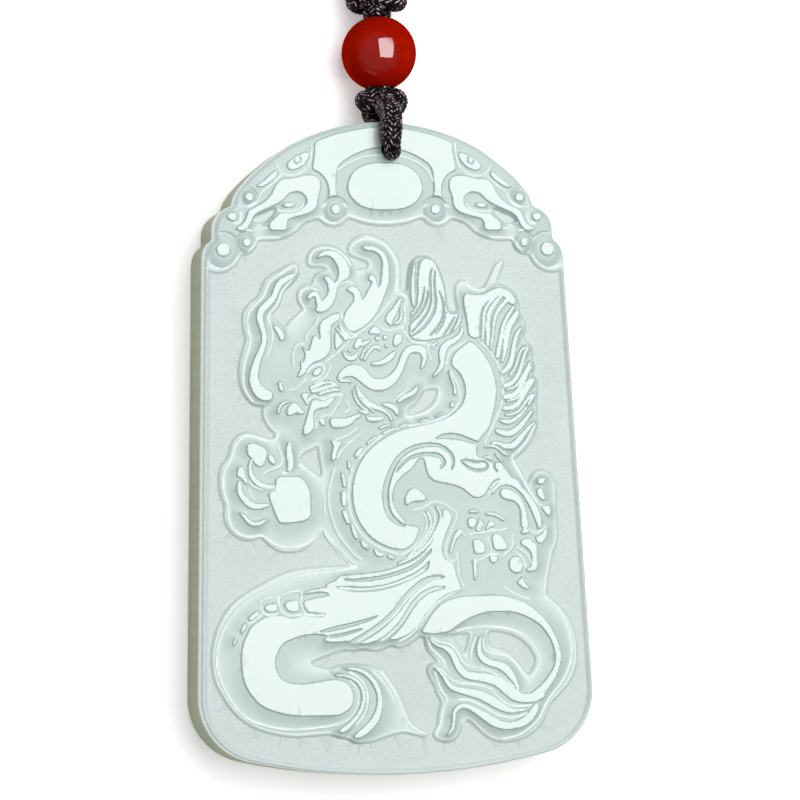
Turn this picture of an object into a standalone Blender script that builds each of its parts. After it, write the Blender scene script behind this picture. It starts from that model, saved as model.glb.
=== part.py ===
"""A carved jade pendant that lies face up, with its agate bead, knots and cord.

The tablet's carved face looks up (+Z), its top edge points along +Y, and the
origin is on the flat back. Lengths are in metres.
"""
import math

import bmesh
import bpy
import numpy as np
from mathutils import Vector

MM = 0.001

# The tablet
TABLET_HEIGHT = 65.6 * MM       # lowest point to the top of the arch
TABLET_WIDTH = 40.4 * MM        # across its lower end
TABLET_THICKNESS = 8.0 * MM
EDGE_ROUND = 0.9 * MM
RELIEF_DEPTH = 0.95 * MM        # from the carved tops down to the ground

# The cord hole, drilled aslant from the carved face to the top edge
HOLE_DIAMETER = 2.7 * MM
HOLE_BELOW_TOP = 3.3 * MM       # from the arch's top down to the hole in the face
HOLE_EXIT_HEIGHT = 4.0 * MM     # above the back, in the top edge

# The cord and what is threaded on it
CORD_DIAMETER = 2.2 * MM
BEAD_DIAMETER = 7.6 * MM
BEAD_BORE = 3.0 * MM
KNOT_WIDTH = 5.2 * MM
KNOT_LENGTH = 2.6 * MM
KNOT_ABOVE_TABLET = 1.15 * MM   # from the tablet's top edge to the lower knot
UPPER_KNOT_WIDTH = 6.2 * MM
UPPER_KNOT_LENGTH = 3.6 * MM
KNOT_FLATNESS = 0.8             # a knot's height, as a share of its width
SHIFT_RIGHT = 0.8 * MM          # the string lies a little right of the middle
GAP = 0.3 * MM                  # between pieces that touch
COIL_MID_DIAMETER = 25.6 * MM   # holds about 0.6 m of cord
COIL_TURNS_WIDE = 3
COIL_LAYERS = 3
COIL_BEYOND_KNOT = 24 * MM      # from the upper knot to the coil's centre
CORD_HEIGHT = 3.4 * MM          # centre line of the string beside the tablet

# The carving is drawn in millimetres on a tablet of this size, and follows
# the tablet's own height and width.
DRAWN_HEIGHT = 65.6
DRAWN_WIDTH = 40.4
DRAWN_TOP = 34.25
GRID_STEP = 0.42                # drawn millimetres between relief points
FACE_TRIANGLES = 6400
SLOPE = 0.75                    # how far a carved side runs out
GROOVE_SHARE = 0.45             # depth of a groove, as a share of the relief
BAND_SHARE = 0.6                # the same for the band's ground
FAR = 99.0                      # farther than any line of the drawing
GROOVE_SIDE = 0.25              # drawn width of a groove's side
RIM_CLEAR = 0.8                 # the carving fades out this near to the outline
WELD = 0.06                     # rim points closer than this become one
BACK_INSET = 0.6                # how far the back edge is drawn in, as a share of its round

# Centre lines of raised carving: x, y and half width at each point
DRAGON = {
    "neck": [(8.2, 11.7, .5), (9.0, 9.6, 1.3), (9.2, 7.2, 1.6), (8.7, 5.0, 1.7), (8.0, 2.8, 1.8)],
    "back": [(7.6, 1.6, 2.9), (4.6, 1.1, 2.8), (1.0, .5, 2.5), (-1.6, -1.4, 2.4), (-2.4, -3.9, 2.0),
             (-1.8, -6.2, 1.7), (-.2, -7.6, 1.2), (1.5, -7.5, .8)],
    "haunch": [(7.8, -1.6, 2.1), (9.9, -1.3, 1.4), (11.5, -1.5, .5)],
    "thigh": [(5.0, -5.6, .5), (4.4, -8.2, .7), (3.0, -10.4, 1.3), (0, -11.6, 1.2), (-5.6, -12.0, .7)],
    "shin": [(5.6, -11.6, 1.4), (3.6, -12.8, 1.9), (1.0, -14.6, 2.2), (-1.6, -16.4, 1.9), (-4.8, -17.3, .7)],
    "loop": [(-7.4, -12.7, .5), (-11.0, -15.0, .6), (-13.2, -16.6, 1.4), (-14.3, -19.0, 1.6),
             (-14.0, -21.6, 1.6), (-12.2, -23.4, 1.6), (-9.0, -23.7, 1.6), (-6.2, -23.4, 1.3)],
    "loop_top": [(-7.4, -13.6, .7), (-4.0, -14.6, 2.0), (-7.4, -16.5, .9), (-10.8, -16.6, .9)],
    "tail": [(2.9, -17.0, .4), (4.6, -15.7, 1.1), (7.4, -14.6, .9), (10.4, -14.5, .8), (13.4, -15.3, .8),
             (15.5, -17.4, .6), (16.4, -20.0, .4), (15.4, -22.6, .5), (13.2, -24.1, .4)],
    "tail_flame_1": [(5.0, -18.9, .3), (6.2, -21.0, .5), (9.0, -22.0, .6), (11.8, -23.8, .6)],
    "tail_flame_2": [(8.3, -18.4, .3), (8.6, -20.0, .4), (10.6, -20.8, .5), (12.0, -22.6, .3)],
    "tail_flame_3": [(4.3, -21.4, .3), (6.2, -23.1, .4), (9.0, -24.0, .6), (12.3, -25.3, .3)],
    "tail_flame_4": [(5.3, -26.6, .3), (5.8, -24.8, .3), (9.5, -26.3, .6), (13.4, -26.0, .5),
                     (14.0, -24.9, .3)],
    "tuft_1": [(-6.3, -21.3, .2), (-4.1, -22.2, .3), (-3.9, -24.4, .3), (-6.0, -26.7, .4)],
    "tuft_2": [(-5.2, -20.6, .2), (-2.6, -22.0, .4), (-2.3, -24.9, .5), (-4.5, -27.3, .4)],
    "horn": [(-4.0, 13.6, .9), (-2.2, 15.0, 1.2), (-.7, 17.0, .7), (-.1, 19.4, .4), (-1.4, 21.4, .4),
             (-3.2, 21.6, .3)],
    "horn_hook": [(-2.6, 16.2, .6), (-3.4, 17.2, .4), (-4.1, 17.2, .3)],
    "antler": [(-4.8, 18.2, .4), (-4.5, 19.6, .6), (-5.6, 20.8, .4), (-7.2, 20.4, .3)],
    "antler_low": [(-5.6, 18.0, .4), (-6.0, 16.4, .6), (-7.2, 15.3, .4), (-7.9, 16.7, .4)],
    "mane": [(3.6, 12.6, .7), (4.2, 14.4, 1.9), (4.4, 17.0, 1.4), (4.1, 19.8, .6)],
    "mane_back": [(6.6, 13.6, .8), (7.0, 14.4, .6)],
    "ear": [(1.2, 16.2, .2), (0, 14.2, .5)],
    "flame_brow": [(-5.2, 14.5, .3), (-6.6, 13.2, .7), (-7.4, 11.4, .9), (-9.2, 9.2, .3)],
    "brow": [(-4.4, 13.6, .4), (-5.2, 11.8, .5)],
    "knob": [(-1.6, 13.1, .5), (.8, 12.2, .5)],
    "cheek_roll": [(3.5, 10.4, .3), (2.6, 11.25, .5), (1.2, 9.9, .5), (-.6, 7.8, .7), (-2.6, 8.2, .7),
                   (-4.0, 9.1, .7), (-5.3, 8.4, .3)],
    "snout": [(-8.6, 8.9, .5), (-7.2, 8.0, .7), (-5.6, 7.7, .4)],
    "nostril": [(-10.7, 5.0, .4), (-9.6, 5.5, .5)],
    "jaw": [(-8.7, 3.2, .5), (-8.2, 5.6, .4), (-6.2, 6.1, .4)],
    "teeth": [(-7.1, 4.0, .35), (-5.6, 3.9, .4), (-3.4, 4.6, .3), (-1.2, 4.2, .3)],
    "lip": [(-3.3, 7.0, .4), (-2.4, 5.7, .4), (-.2, 4.7, .4), (.5, 5.1, .35)],
    "jowl": [(1.0, 6.2, .3), (2.4, 7.0, .3)],
    "lock": [(7.4, 13.0, .2), (5.6, 11.4, .4), (5.3, 9.4, .3)],
    "whisker": [(-9.7, 18.7, .3), (-11.5, 17.3, .35), (-13.2, 15.2, .4), (-12.9, 12.4, .3),
                (-14.0, 8.6, .5), (-12.8, 6.6, .7)],
    "leaf": [(-11.6, 13.4, .3), (-11.05, 12.4, .3)],
    "fin_root": [(9.0, 12.8, .7), (8.7, 15.0, .6), (9.4, 16.5, .5), (12.6, 16.5, .4)],
    "fin_1": [(10.1, 11.8, .4), (10.3, 14.4, .4), (11.9, 16.5, .3)],
    "fin_2": [(11.3, 10.6, .4), (12.0, 13.2, .5), (13.3, 14.8, .3)],
    "fin_3": [(11.8, 8.8, .4), (13.0, 10.8, .5), (14.0, 13.0, .3)],
    "fin_4": [(11.9, 7.2, .4), (13.6, 8.8, .4), (14.5, 11.0, .3)],
    "fin_5": [(11.8, 5.6, .5), (13.6, 6.8, .4), (14.7, 9.0, .3)],
    "fin_6": [(11.2, 3.9, .3), (13.2, 4.5, .4), (14.8, 6.9, .3)],
    "fin_7": [(11.0, 2.8, .4), (13.0, 3.0, .4), (14.6, 4.9, .3)],
    "fin_8": [(10.0, 1.4, .3), (12.3, 1.3, .5), (14.6, 3.4, .3)],
    "belly_1": [(-3.7, .6, .4), (.6, 3.4, .25), (5.0, 4.6, .25)],
    "belly_2": [(-5.2, -1.4, .3), (-5.2, -4.4, .4), (-4.2, -7.2, .4), (-1.6, -9.3, .4)],
    "sheaf": [(1.4, -9.8, .3), (3.9, -7.6, .4), (4.4, -5.2, .3)],
    "wrist": [(-10.6, 1.9, .3), (-10.6, -.6, .5)],
    "pearl": [(-10.8, -2.6, 1.5), (-10.5, -4.6, 1.5)],
    "talon_1": [(-14.6, 1.4, .4), (-12.6, .4, .7)],
    "talon_2": [(-14.6, .1, .3), (-14.5, -1.5, .4), (-12.5, -2.4, .3)],
    "talon_3": [(-15.7, -.8, .35), (-15.1, -1.9, .2)],
    "talon_4": [(-15.8, -2.2, .4), (-15.0, -4.1, .4), (-13.2, -4.3, .3)],
    "talon_5": [(-15.5, -5.2, .3), (-14.2, -6.1, .4), (-13.1, -5.6, .2)],
    "forearm": [(10.4, -3.0, .3), (12.0, -2.7, .4), (13.6, -4.4, .5), (14.5, -6.4, .4)],
    "wrist_right": [(11.2, -3.4, .35), (13.0, -4.5, .4), (13.4, -6.8, .4)],
    "fist_1": [(8.0, -6.4, .5), (8.6, -8.8, .7)],
    "fist_2": [(9.9, -6.5, .35), (10.7, -8.4, .8)],
    "fist_3": [(12.4, -10.7, .8), (12.9, -12.5, .3)],
    "fist_4": [(13.4, -8.4, .4), (14.4, -9.4, .35), (14.1, -11.1, .3)],
    "thumb": [(5.7, -9.0, .3), (6.5, -7.3, .3)],
    "spurs": [(15.2, -2.2, .35), (15.3, -3.6, .35), (15.8, -5.1, .4)],
}
# Grooves cut back into those tops
GROOVES = {
    "spiral": [(.4, -6.3, .25), (-.9, -4.4, .3), (-.6, -1.8, .3), (1.6, 1.1, .3), (4.4, 1.6, .25),
               (6.2, 0, .2)],
    "spiral_in": [(.4, -1.0, .2), (2.4, .5, .2), (4.8, .4, .25), (5.0, -.7, .2)],
    "hip_ring": [(7.1, 0, .2), (9.6, -.3, .2), (8.6, -1.1, .2), (7.1, -.3, .2)],
    "back_line": [(4.6, 2.2, .2), (6.6, 2.4, .3), (8.8, 1.6, .25)],
    "sheaf_a": [(-5.2, -12.6, .3), (-1.6, -12.7, .3), (2.2, -11.3, .3), (3.4, -9.4, .2)],
    "leg_a": [(4.6, -11.8, .3), (2.0, -12.7, .35), (-.6, -15.4, .35), (-4.6, -18.0, .35)],
    "leg_b": [(4.4, -12.9, .3), (1.6, -14.3, .3), (-.6, -17.1, .3)],
    "mane_cut": [(3.2, 18.6, .2), (3.2, 16.2, .2), (2.4, 14.4, .2)],
    "mane_cut_2": [(4.7, 18.6, .2), (4.8, 16.0, .2), (2.8, 13.2, .2)],
}
# The foot that the dragon stands on: lines with a wide skirt around them
FOOT = {
    "head": [(-4.6, 12.2, 3.4), (-6.6, 9.2, 3.2), (-9.4, 6.4, 3.2)],
    "skull": [(-1.0, 11.2, 3.4), (3.6, 11.0, 3.0), (6.6, 11.0, 3.0)],
    "throat": [(-5.0, 4.6, 3.4), (1.0, 5.6, 3.4), (6.0, 6.8, 3.4)],
    "fin": [(10.6, 14.0, 2.8), (12.0, 9.6, 3.0), (12.2, 4.8, 2.9)],
    "fin_low": [(8.6, 2.6, 3.0), (12.4, 2.0, 1.6)],
    "belly": [(7.0, 1.2, 3.6), (1.6, .6, 4.0), (-2.6, -3.0, 4.4), (0, -7.6, 3.6)],
    "paw": [(-11.2, .6, 1.6), (-13.4, -2.2, 3.6), (-11.0, -4.6, 4.0)],
    "fist": [(12.2, -4.0, 2.6), (11.6, -7.4, 4.6), (12.0, -10.2, 3.8)],
    "leg": [(4.6, -8.4, 3.0), (2.4, -12.6, 4.0), (-3.0, -14.4, 4.0)],
    "loop": [(-9.6, -14.0, 3.4), (-14.4, -17.4, 3.6), (-14.8, -21.4, 3.6), (-10.6, -23.6, 3.3),
             (-6.0, -23.4, 3.6)],
    "fur": [(-4.4, -24.0, 3.2), (-2.8, -25.6, 2.0)],
    "tail": [(5.6, -15.4, 2.6), (11.4, -14.6, 2.6), (15.2, -17.6, 2.8), (15.6, -20.6, 2.6)],
    "flames": [(6.4, -21.0, 2.6), (9.0, -24.0, 3.8), (13.0, -25.4, 2.4)],
}
HOLLOWS = {
    "tail_gap": [(10.0, -18.2, .6), (12.2, -18.8, .9), (13.6, -20.4, .7)],
    "belly_gap": [(-6.6, -19.6, .8), (-2.6, -19.6, .8), (1.6, -18.9, .9), (1.8, -23.0, 1.6)],
    "arm_gap": [(-8.4, .6, .5), (-7.5, -.8, .2)],
}
# Half of the band across the top; the other half mirrors it
BAND_FOOT = [(0, 23.9), (3.4, 24.6), (5.2, 23.6), (6.6, 24.5), (9.2, 23.4), (13.0, 22.4), (13.9, 21.0),
             (15.1, 20.8), (16.8, 19.1), (19.2, 19.7)]
BAND_TOPS = {
    "arch": [(0, 32.6, .95), (4.0, 31.9, .95), (6.2, 30.4, 1.0), (5.5, 28.4, .5), (5.4, 26.3, .45)],
    "oval": [(0, 27.6, 2.3), (1.5, 27.7, 2.1)],
    "beast_brow": [(7.4, 28.0, .6), (9.4, 27.7, .6), (11.2, 26.6, .5), (14.0, 25.0, .35), (15.2, 23.4, .3)],
    "beast_cheek": [(7.5, 26.4, .5), (8.8, 25.0, .3), (10.8, 24.0, .7)],
    "leaf": [(8.2, 30.7, .35), (9.6, 29.8, .45)],
    "leaf_small": [(11.2, 28.8, .3), (12.8, 27.8, .25)],
}
BAND_BALLS = [(16.75, 21.3, 1.7), (14.3, 22.0, .95), (5.15, 25.3, .5), (13.9, 26.6, .75), (15.8, 24.5, .5)]

# The tablet's right half, from its shoulder down: two small scallops each side
SHOULDER = [(10.6, 31.25), (13.0, 29.4), (14.4, 28.0), (15.15, 27.0), (15.45, 26.2), (15.5, 25.9),
            (15.65, 25.75), (16.5, 25.4), (17.2, 24.7), (17.5, 23.9), (17.55, 23.0), (17.55, 22.5),
            (17.7, 22.3), (18.25, 21.85), (18.6, 21.0), (18.66, 19.6)]
TOP_ARC_RADIUS = 20.5
LOW_ARC_RADIUS = 66.5
CORNER_ROUND = 6.5
SIDE_LOW = (20.2, -23.0)
SIDE_LEAN = math.radians(92)    # heading of the side where the corner starts


def clear_scene():
    for item in list(bpy.data.objects):
        bpy.data.objects.remove(item, do_unlink=True)


def make_collection(name):
    group = bpy.data.collections.new(name)
    bpy.context.scene.collection.children.link(group)
    return group


def make_material(name, color, roughness):
    material = bpy.data.materials.new(name)
    material.use_nodes = True
    shader = material.node_tree.nodes["Principled BSDF"]
    shader.inputs["Base Color"].default_value = (*color, 1)
    shader.inputs["Roughness"].default_value = roughness
    shader.inputs["Metallic"].default_value = 0.0
    material.diffuse_color = (*color, 1)
    return material


def add_object(name, mesh, group, material):
    item = bpy.data.objects.new(name, mesh)
    group.objects.link(item)
    if material:
        mesh.materials.append(material)
    return item


def soften(points, closed, rounds=2):
    """Cut a line's corners, so that few points give a smooth curve."""
    line = [np.array(point, dtype=float) for point in points]
    for _ in range(rounds):
        count = len(line)
        pairs = [(line[i], line[(i + 1) % count]) for i in range(count if closed else count - 1)]
        cut = [share * a + (1 - share) * b for a, b in pairs for share in (0.75, 0.25)]
        line = cut if closed else [line[0]] + cut + [line[-1]]
    return line


def arc(center, radius, start, end, count):
    steps = [start + (end - start) * i / count for i in range(count + 1)]
    return [(center[0] + radius * math.sin(a), center[1] + radius * math.cos(a)) for a in steps]


def outline_points():
    """The tablet's outline, in drawn millimetres, counter-clockwise from the top."""
    top = DRAWN_TOP
    reach = math.asin(SHOULDER[0][0] / TOP_ARC_RADIUS) * 0.92
    half = arc((0, top - TOP_ARC_RADIUS), TOP_ARC_RADIUS, 0, reach, 9)
    half += [tuple(point) for point in soften(SHOULDER, False)]
    half += [(SHOULDER[-1][0] + (SIDE_LOW[0] - SHOULDER[-1][0]) * i / 12,
              SHOULDER[-1][1] + (SIDE_LOW[1] - SHOULDER[-1][1]) * i / 12) for i in range(1, 12)]
    low_center = (0, top - DRAWN_HEIGHT + LOW_ARC_RADIUS)
    corner_x = SIDE_LOW[0] - CORNER_ROUND
    inner = LOW_ARC_RADIUS - CORNER_ROUND
    corner = (corner_x, low_center[1] - math.sqrt(inner ** 2 - corner_x ** 2))
    lean = math.atan2(corner_x, low_center[1] - corner[1])
    half += arc(corner, CORNER_ROUND, SIDE_LEAN, math.pi - lean, 8)
    half += arc(low_center, LOW_ARC_RADIUS, math.pi - lean, math.pi, 10)[1:]
    mirrored = [(-x, y) for x, y in half[-2:0:-1]]
    loop = [np.array(point) for point in half + mirrored]
    return loop[::-1]


def line_distance(px, py, line, closed=False):
    """The distance from each point to a line, less the line's half width."""
    best = np.full(px.shape, FAR)
    count = len(line)
    for i in range(count if closed else count - 1):
        a, b = line[i], line[(i + 1) % count]
        run = b[:2] - a[:2]
        length = max(float(run @ run), 1e-9)
        share = np.clip(((px - a[0]) * run[0] + (py - a[1]) * run[1]) / length, 0, 1)
        away = np.hypot(px - a[0] - share * run[0], py - a[1] - share * run[1])
        if len(a) > 2:
            away = away - (a[2] + share * (b[2] - a[2]))
        best = np.minimum(best, away)
    return best


def nearest(px, py, shapes):
    best = np.full(px.shape, FAR)
    for points in shapes.values():
        best = np.minimum(best, line_distance(px, py, soften(points, False)))
    return best


def ramp(value):
    value = np.clip(value, 0, 1)
    return value * value * (3 - 2 * value)


def carving_depth(px, py):
    """How deep the face lies below the carved tops, as a share of the relief."""
    side = np.abs(px)
    tops = nearest(px, py, DRAGON)
    foot = nearest(px, py, FOOT)
    foot = np.maximum(foot, -nearest(px, py, HOLLOWS))
    band_line = soften(BAND_FOOT, False)
    band_edge = np.interp(side, [point[0] for point in band_line], [point[1] for point in band_line])
    below_band = band_edge - py
    band_tops = nearest(side, py, BAND_TOPS)
    for x, y, radius in BAND_BALLS:
        band_tops = np.minimum(band_tops, np.hypot(side - x, py - y) - radius)
    in_band = below_band < 0
    tops = np.where(in_band, np.minimum(band_tops, tops), tops)
    foot = np.minimum(foot, below_band)
    rise = np.maximum(tops, 0)
    fall = np.maximum(-foot, 0)
    depth = np.where(foot > 0, 1.0, ramp(rise / (rise + fall + 1e-6)))
    shallow = np.minimum(depth, rise / SLOPE)
    depth = np.where(in_band, np.minimum(shallow, BAND_SHARE), shallow)
    cuts = nearest(px, py, GROOVES)
    return np.maximum(depth, GROOVE_SHARE * ramp(-cuts / GROOVE_SIDE + 0.3))


def edge_drop(distance, radius):
    """How far a rounded edge lies below the face, by the distance from the outline."""
    inside = np.clip(radius - distance, 0, radius)
    return radius - np.sqrt(np.maximum(radius ** 2 - inside ** 2, 0))


def inside_outline(x, y, loop):
    found = False
    for a, b in zip(loop, np.roll(loop, -1, axis=0)):
        if (a[1] > y) != (b[1] > y) and x < a[0] + (y - a[1]) / (b[1] - a[1]) * (b[0] - a[0]):
            found = not found
    return found


def nearest_on_loop(x, y, loop):
    point = np.array((x, y))
    starts = np.array(loop)
    runs = np.roll(starts, -1, axis=0) - starts
    share = np.clip(((point - starts) * runs).sum(axis=1) / (runs ** 2).sum(axis=1), 0, 1)
    feet = starts + share[:, None] * runs
    return feet[np.argmin(((feet - point) ** 2).sum(axis=1))]


def make_tablet(group, cutters, material):
    """A grid trimmed to the outline, carved, then closed by a wall and a flat back."""
    loop = outline_points()
    low_y = DRAWN_TOP - DRAWN_HEIGHT
    columns = int(DRAWN_WIDTH / GRID_STEP) + 3
    rows = int(DRAWN_HEIGHT / GRID_STEP) + 3
    bm = bmesh.new()
    bmesh.ops.create_grid(bm, x_segments=columns, y_segments=rows, size=0.5)
    for vertex in bm.verts:
        vertex.co.x *= columns * GRID_STEP
        vertex.co.y = vertex.co.y * rows * GRID_STEP + low_y + DRAWN_HEIGHT / 2
    outside = [face for face in bm.faces
               if not inside_outline(*face.calc_center_median()[:2], loop)]
    bmesh.ops.delete(bm, geom=outside, context="FACES")
    rim = {vertex for edge in bm.edges if edge.is_boundary for vertex in edge.verts}
    for vertex in rim:
        vertex.co.x, vertex.co.y = nearest_on_loop(vertex.co.x, vertex.co.y, loop)
    bmesh.ops.remove_doubles(bm, verts=bm.verts, dist=WELD)
    bm.verts.ensure_lookup_table()
    px = np.array([vertex.co.x for vertex in bm.verts])
    py = np.array([vertex.co.y for vertex in bm.verts])
    margin = line_distance(px, py, loop, closed=True)
    thick = TABLET_THICKNESS / MM
    round_mm = EDGE_ROUND / MM
    relief = RELIEF_DEPTH / MM * ramp(margin / RIM_CLEAR)
    drop = edge_drop(margin, round_mm) + carving_depth(px, py) * relief
    for vertex, down in zip(bm.verts, drop):
        vertex.co.z = thick - down
    wide = TABLET_WIDTH / MM / DRAWN_WIDTH
    tall = TABLET_HEIGHT / MM / DRAWN_HEIGHT
    inset = BACK_INSET * round_mm
    for step_z, drawn_in in ((round_mm, 0), (0.35 * round_mm, 0.4 * inset), (0, inset)):
        lower_rim(bm, step_z, drawn_in)
    rim_edges = [edge for edge in bm.edges if edge.is_boundary]
    bmesh.ops.contextual_create(bm, geom=rim_edges)
    for vertex in bm.verts:
        vertex.co = Vector((vertex.co.x * wide * MM, vertex.co.y * tall * MM, vertex.co.z * MM))
    bmesh.ops.triangulate(bm, faces=bm.faces)
    bmesh.ops.recalc_face_normals(bm, faces=bm.faces)
    mesh = bpy.data.meshes.new("jade_tablet")
    bm.to_mesh(mesh)
    triangles = len(bm.faces)
    bm.free()
    tablet = add_object("jade_tablet", mesh, group, material)
    thin = tablet.modifiers.new("fewer facets", "DECIMATE")
    thin.ratio = FACE_TRIANGLES / triangles
    drill = hole_cutter(cutters)
    cut = tablet.modifiers.new("cord hole", "BOOLEAN")
    cut.object = drill
    cut.operation = "DIFFERENCE"
    return tablet


def lower_rim(bm, height, inset):
    """Extrude the open rim down to a height, drawn in a little."""
    edges = [edge for edge in bm.edges if edge.is_boundary]
    made = bmesh.ops.extrude_edge_only(bm, edges=edges)["geom"]
    ring = [item for item in made if isinstance(item, bmesh.types.BMVert)]
    middle = Vector((0, DRAWN_TOP - DRAWN_HEIGHT / 2))
    for vertex in ring:
        way = (vertex.co.xy - middle).normalized()
        vertex.co.x -= way.x * inset
        vertex.co.y -= way.y * inset
        vertex.co.z = height


def hole_ends():
    """Where the cord hole meets the carved face and the top edge."""
    top = TABLET_HEIGHT * DRAWN_TOP / DRAWN_HEIGHT
    face = Vector((0, top - HOLE_BELOW_TOP, TABLET_THICKNESS))
    edge = Vector((0, top, HOLE_EXIT_HEIGHT))
    return face, edge


def hole_cutter(cutters):
    face, edge = hole_ends()
    way = (edge - face).normalized()
    over = HOLE_DIAMETER
    bm = bmesh.new()
    length = (edge - face).length + 2 * over
    bmesh.ops.create_cone(bm, cap_ends=True, segments=20, radius1=HOLE_DIAMETER / 2,
                          radius2=HOLE_DIAMETER / 2, depth=length)
    mesh = bpy.data.meshes.new("cord_hole_cutter")
    bm.to_mesh(mesh)
    bm.free()
    drill = add_object("cord_hole_cutter", mesh, cutters, None)
    drill.location = (face + edge) / 2
    drill.rotation_mode = "QUATERNION"
    drill.rotation_quaternion = way.to_track_quat("Z", "Y")
    drill.hide_render = True
    drill.display_type = "WIRE"
    return drill


def turned(name, profile, place, axis, group, material, steps=24):
    """Turn a profile of (radius, height) round an axis with a Screw modifier."""
    mesh = bpy.data.meshes.new(name)
    bm = bmesh.new()
    points = [bm.verts.new((radius, 0, height)) for radius, height in profile]
    for a, b in zip(points, points[1:] + points[:1]):
        bm.edges.new((a, b))
    bm.to_mesh(mesh)
    bm.free()
    item = add_object(name, mesh, group, material)
    screw = item.modifiers.new("turn", "SCREW")
    screw.steps = steps
    screw.render_steps = steps
    screw.use_merge_vertices = True
    screw.merge_threshold = 0.00005
    screw.use_normal_calculate = True
    item.location = place
    item.rotation_mode = "QUATERNION"
    item.rotation_quaternion = Vector(axis).to_track_quat("Z", "Y")
    return item


def curve_through(points, per_span=4):
    """A smooth curve through a few chosen points (Catmull-Rom)."""
    ends = [points[0] * 2 - points[1]] + list(points) + [points[-1] * 2 - points[-2]]
    line = []
    for a, b, c, d in zip(ends, ends[1:], ends[2:], ends[3:]):
        for i in range(per_span):
            t = i / per_span
            line.append(0.5 * (2 * b + (c - a) * t + (2 * a - 5 * b + 4 * c - d) * t * t
                               + (3 * b - a - 3 * c + d) * t ** 3))
    return line + [Vector(points[-1])]


def tube(name, points, group, material, width=CORD_DIAMETER):
    data = bpy.data.curves.new(name, "CURVE")
    data.dimensions = "3D"
    data.bevel_depth = width / 2
    data.bevel_resolution = 2
    data.use_fill_caps = True
    spline = data.splines.new("POLY")
    spline.points.add(len(points) - 1)
    for slot, point in zip(spline.points, points):
        slot.co = (*point, 1)
    data.materials.append(material)
    item = bpy.data.objects.new(name, data)
    group.objects.link(item)
    return item


def string_stations():
    """Where the knots and the bead lie along the string, from the tablet up."""
    top = TABLET_HEIGHT * DRAWN_TOP / DRAWN_HEIGHT
    lower = top + KNOT_ABOVE_TABLET + KNOT_LENGTH / 2
    bead = lower + (KNOT_LENGTH + BEAD_DIAMETER) / 2
    upper = bead + (BEAD_DIAMETER + UPPER_KNOT_LENGTH) / 2
    return lower, bead, upper


def make_knot(name, y, width, length, group, material):
    """A tied knot's plain body: a rounded barrel across the string."""
    bm = bmesh.new()
    bmesh.ops.create_uvsphere(bm, u_segments=16, v_segments=8, radius=0.5)
    for vertex in bm.verts:
        height = width * KNOT_FLATNESS * (1 + 0.25 * abs(vertex.co.x))
        vertex.co = Vector((vertex.co.x * width, vertex.co.y * length, vertex.co.z * height))
    mesh = bpy.data.meshes.new(name)
    bm.to_mesh(mesh)
    bm.free()
    item = add_object(name, mesh, group, material)
    item.location = (SHIFT_RIGHT, y, max(CORD_HEIGHT, width * KNOT_FLATNESS / 2))
    return item


def make_bead(y, group, material):
    radius = BEAD_DIAMETER / 2
    bore = BEAD_BORE / 2
    reach = math.acos(bore / radius)
    rows = 12
    angles = [reach - 2 * reach * i / rows for i in range(rows + 1)]
    profile = [(radius * math.cos(angle), radius * math.sin(angle)) for angle in angles]
    return turned("agate_bead", profile, (SHIFT_RIGHT, y, radius), (0, 1, 0), group, material, 28)


def make_string(group, material):
    lower, bead, upper = string_stations()
    face, edge = hole_ends()
    way = (face - edge).normalized()
    rest = TABLET_THICKNESS + CORD_DIAMETER / 2 + GAP
    knot_low = lower - KNOT_LENGTH / 2 - GAP
    route = [
        Vector((0.2 * MM, knot_low, HOLE_EXIT_HEIGHT - 0.6 * MM)),
        Vector((0.15 * MM, knot_low - 0.3 * MM, HOLE_EXIT_HEIGHT - 0.55 * MM)),
        Vector((0, edge.y, HOLE_EXIT_HEIGHT - 0.05 * MM)),
        edge.lerp(face, 0.3),
        edge.lerp(face, 0.75),
        face + way * 0.8 * MM,
        Vector((0.1 * MM, face.y - 0.45 * MM, rest + 0.35 * MM)),
        Vector((0.2 * MM, face.y + 0.35 * MM, rest + 1.0 * MM)),
        Vector((0.35 * MM, face.y + 1.5 * MM, rest + 0.7 * MM)),
        Vector((0.5 * MM, edge.y - 0.6 * MM, rest + 0.1 * MM)),
        Vector((0.7 * MM, edge.y + 0.8 * MM, rest - 1.1 * MM)),
        Vector((0.8 * MM, edge.y + 1.45 * MM, rest - 2.2 * MM)),
    ]
    tube("hang_loop", curve_through(route), group, material)
    make_knot("lower_knot", lower, KNOT_WIDTH, KNOT_LENGTH, group, material)
    make_knot("upper_knot", upper, UPPER_KNOT_WIDTH, UPPER_KNOT_LENGTH, group, material)
    height = BEAD_DIAMETER / 2
    start = lower + KNOT_LENGTH / 2 + 2 * GAP
    end = upper - UPPER_KNOT_LENGTH / 2 - 2 * GAP
    inner = [Vector((SHIFT_RIGHT, start + (end - start) * i / 3, height)) for i in range(4)]
    tube("bead_cord", inner, group, material)
    return upper + UPPER_KNOT_LENGTH / 2


def make_coil(y, group, material):
    """The closed ring that the wound cord fills."""
    mid = COIL_MID_DIAMETER / 2
    half_wide = (COIL_TURNS_WIDE * CORD_DIAMETER) / 2 + GAP
    high = COIL_LAYERS * CORD_DIAMETER
    cut = CORD_DIAMETER / 3
    profile = [(mid + half_wide - cut, high), (mid + half_wide, high - cut), (mid + half_wide, cut),
               (mid + half_wide - cut, 0), (mid - half_wide + cut, 0), (mid - half_wide, cut),
               (mid - half_wide, high - cut), (mid - half_wide + cut, high)]
    turned("cord_coil", profile, (SHIFT_RIGHT, y, 0), (0, 0, 1), group, material, 32)
    return mid + half_wide


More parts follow.
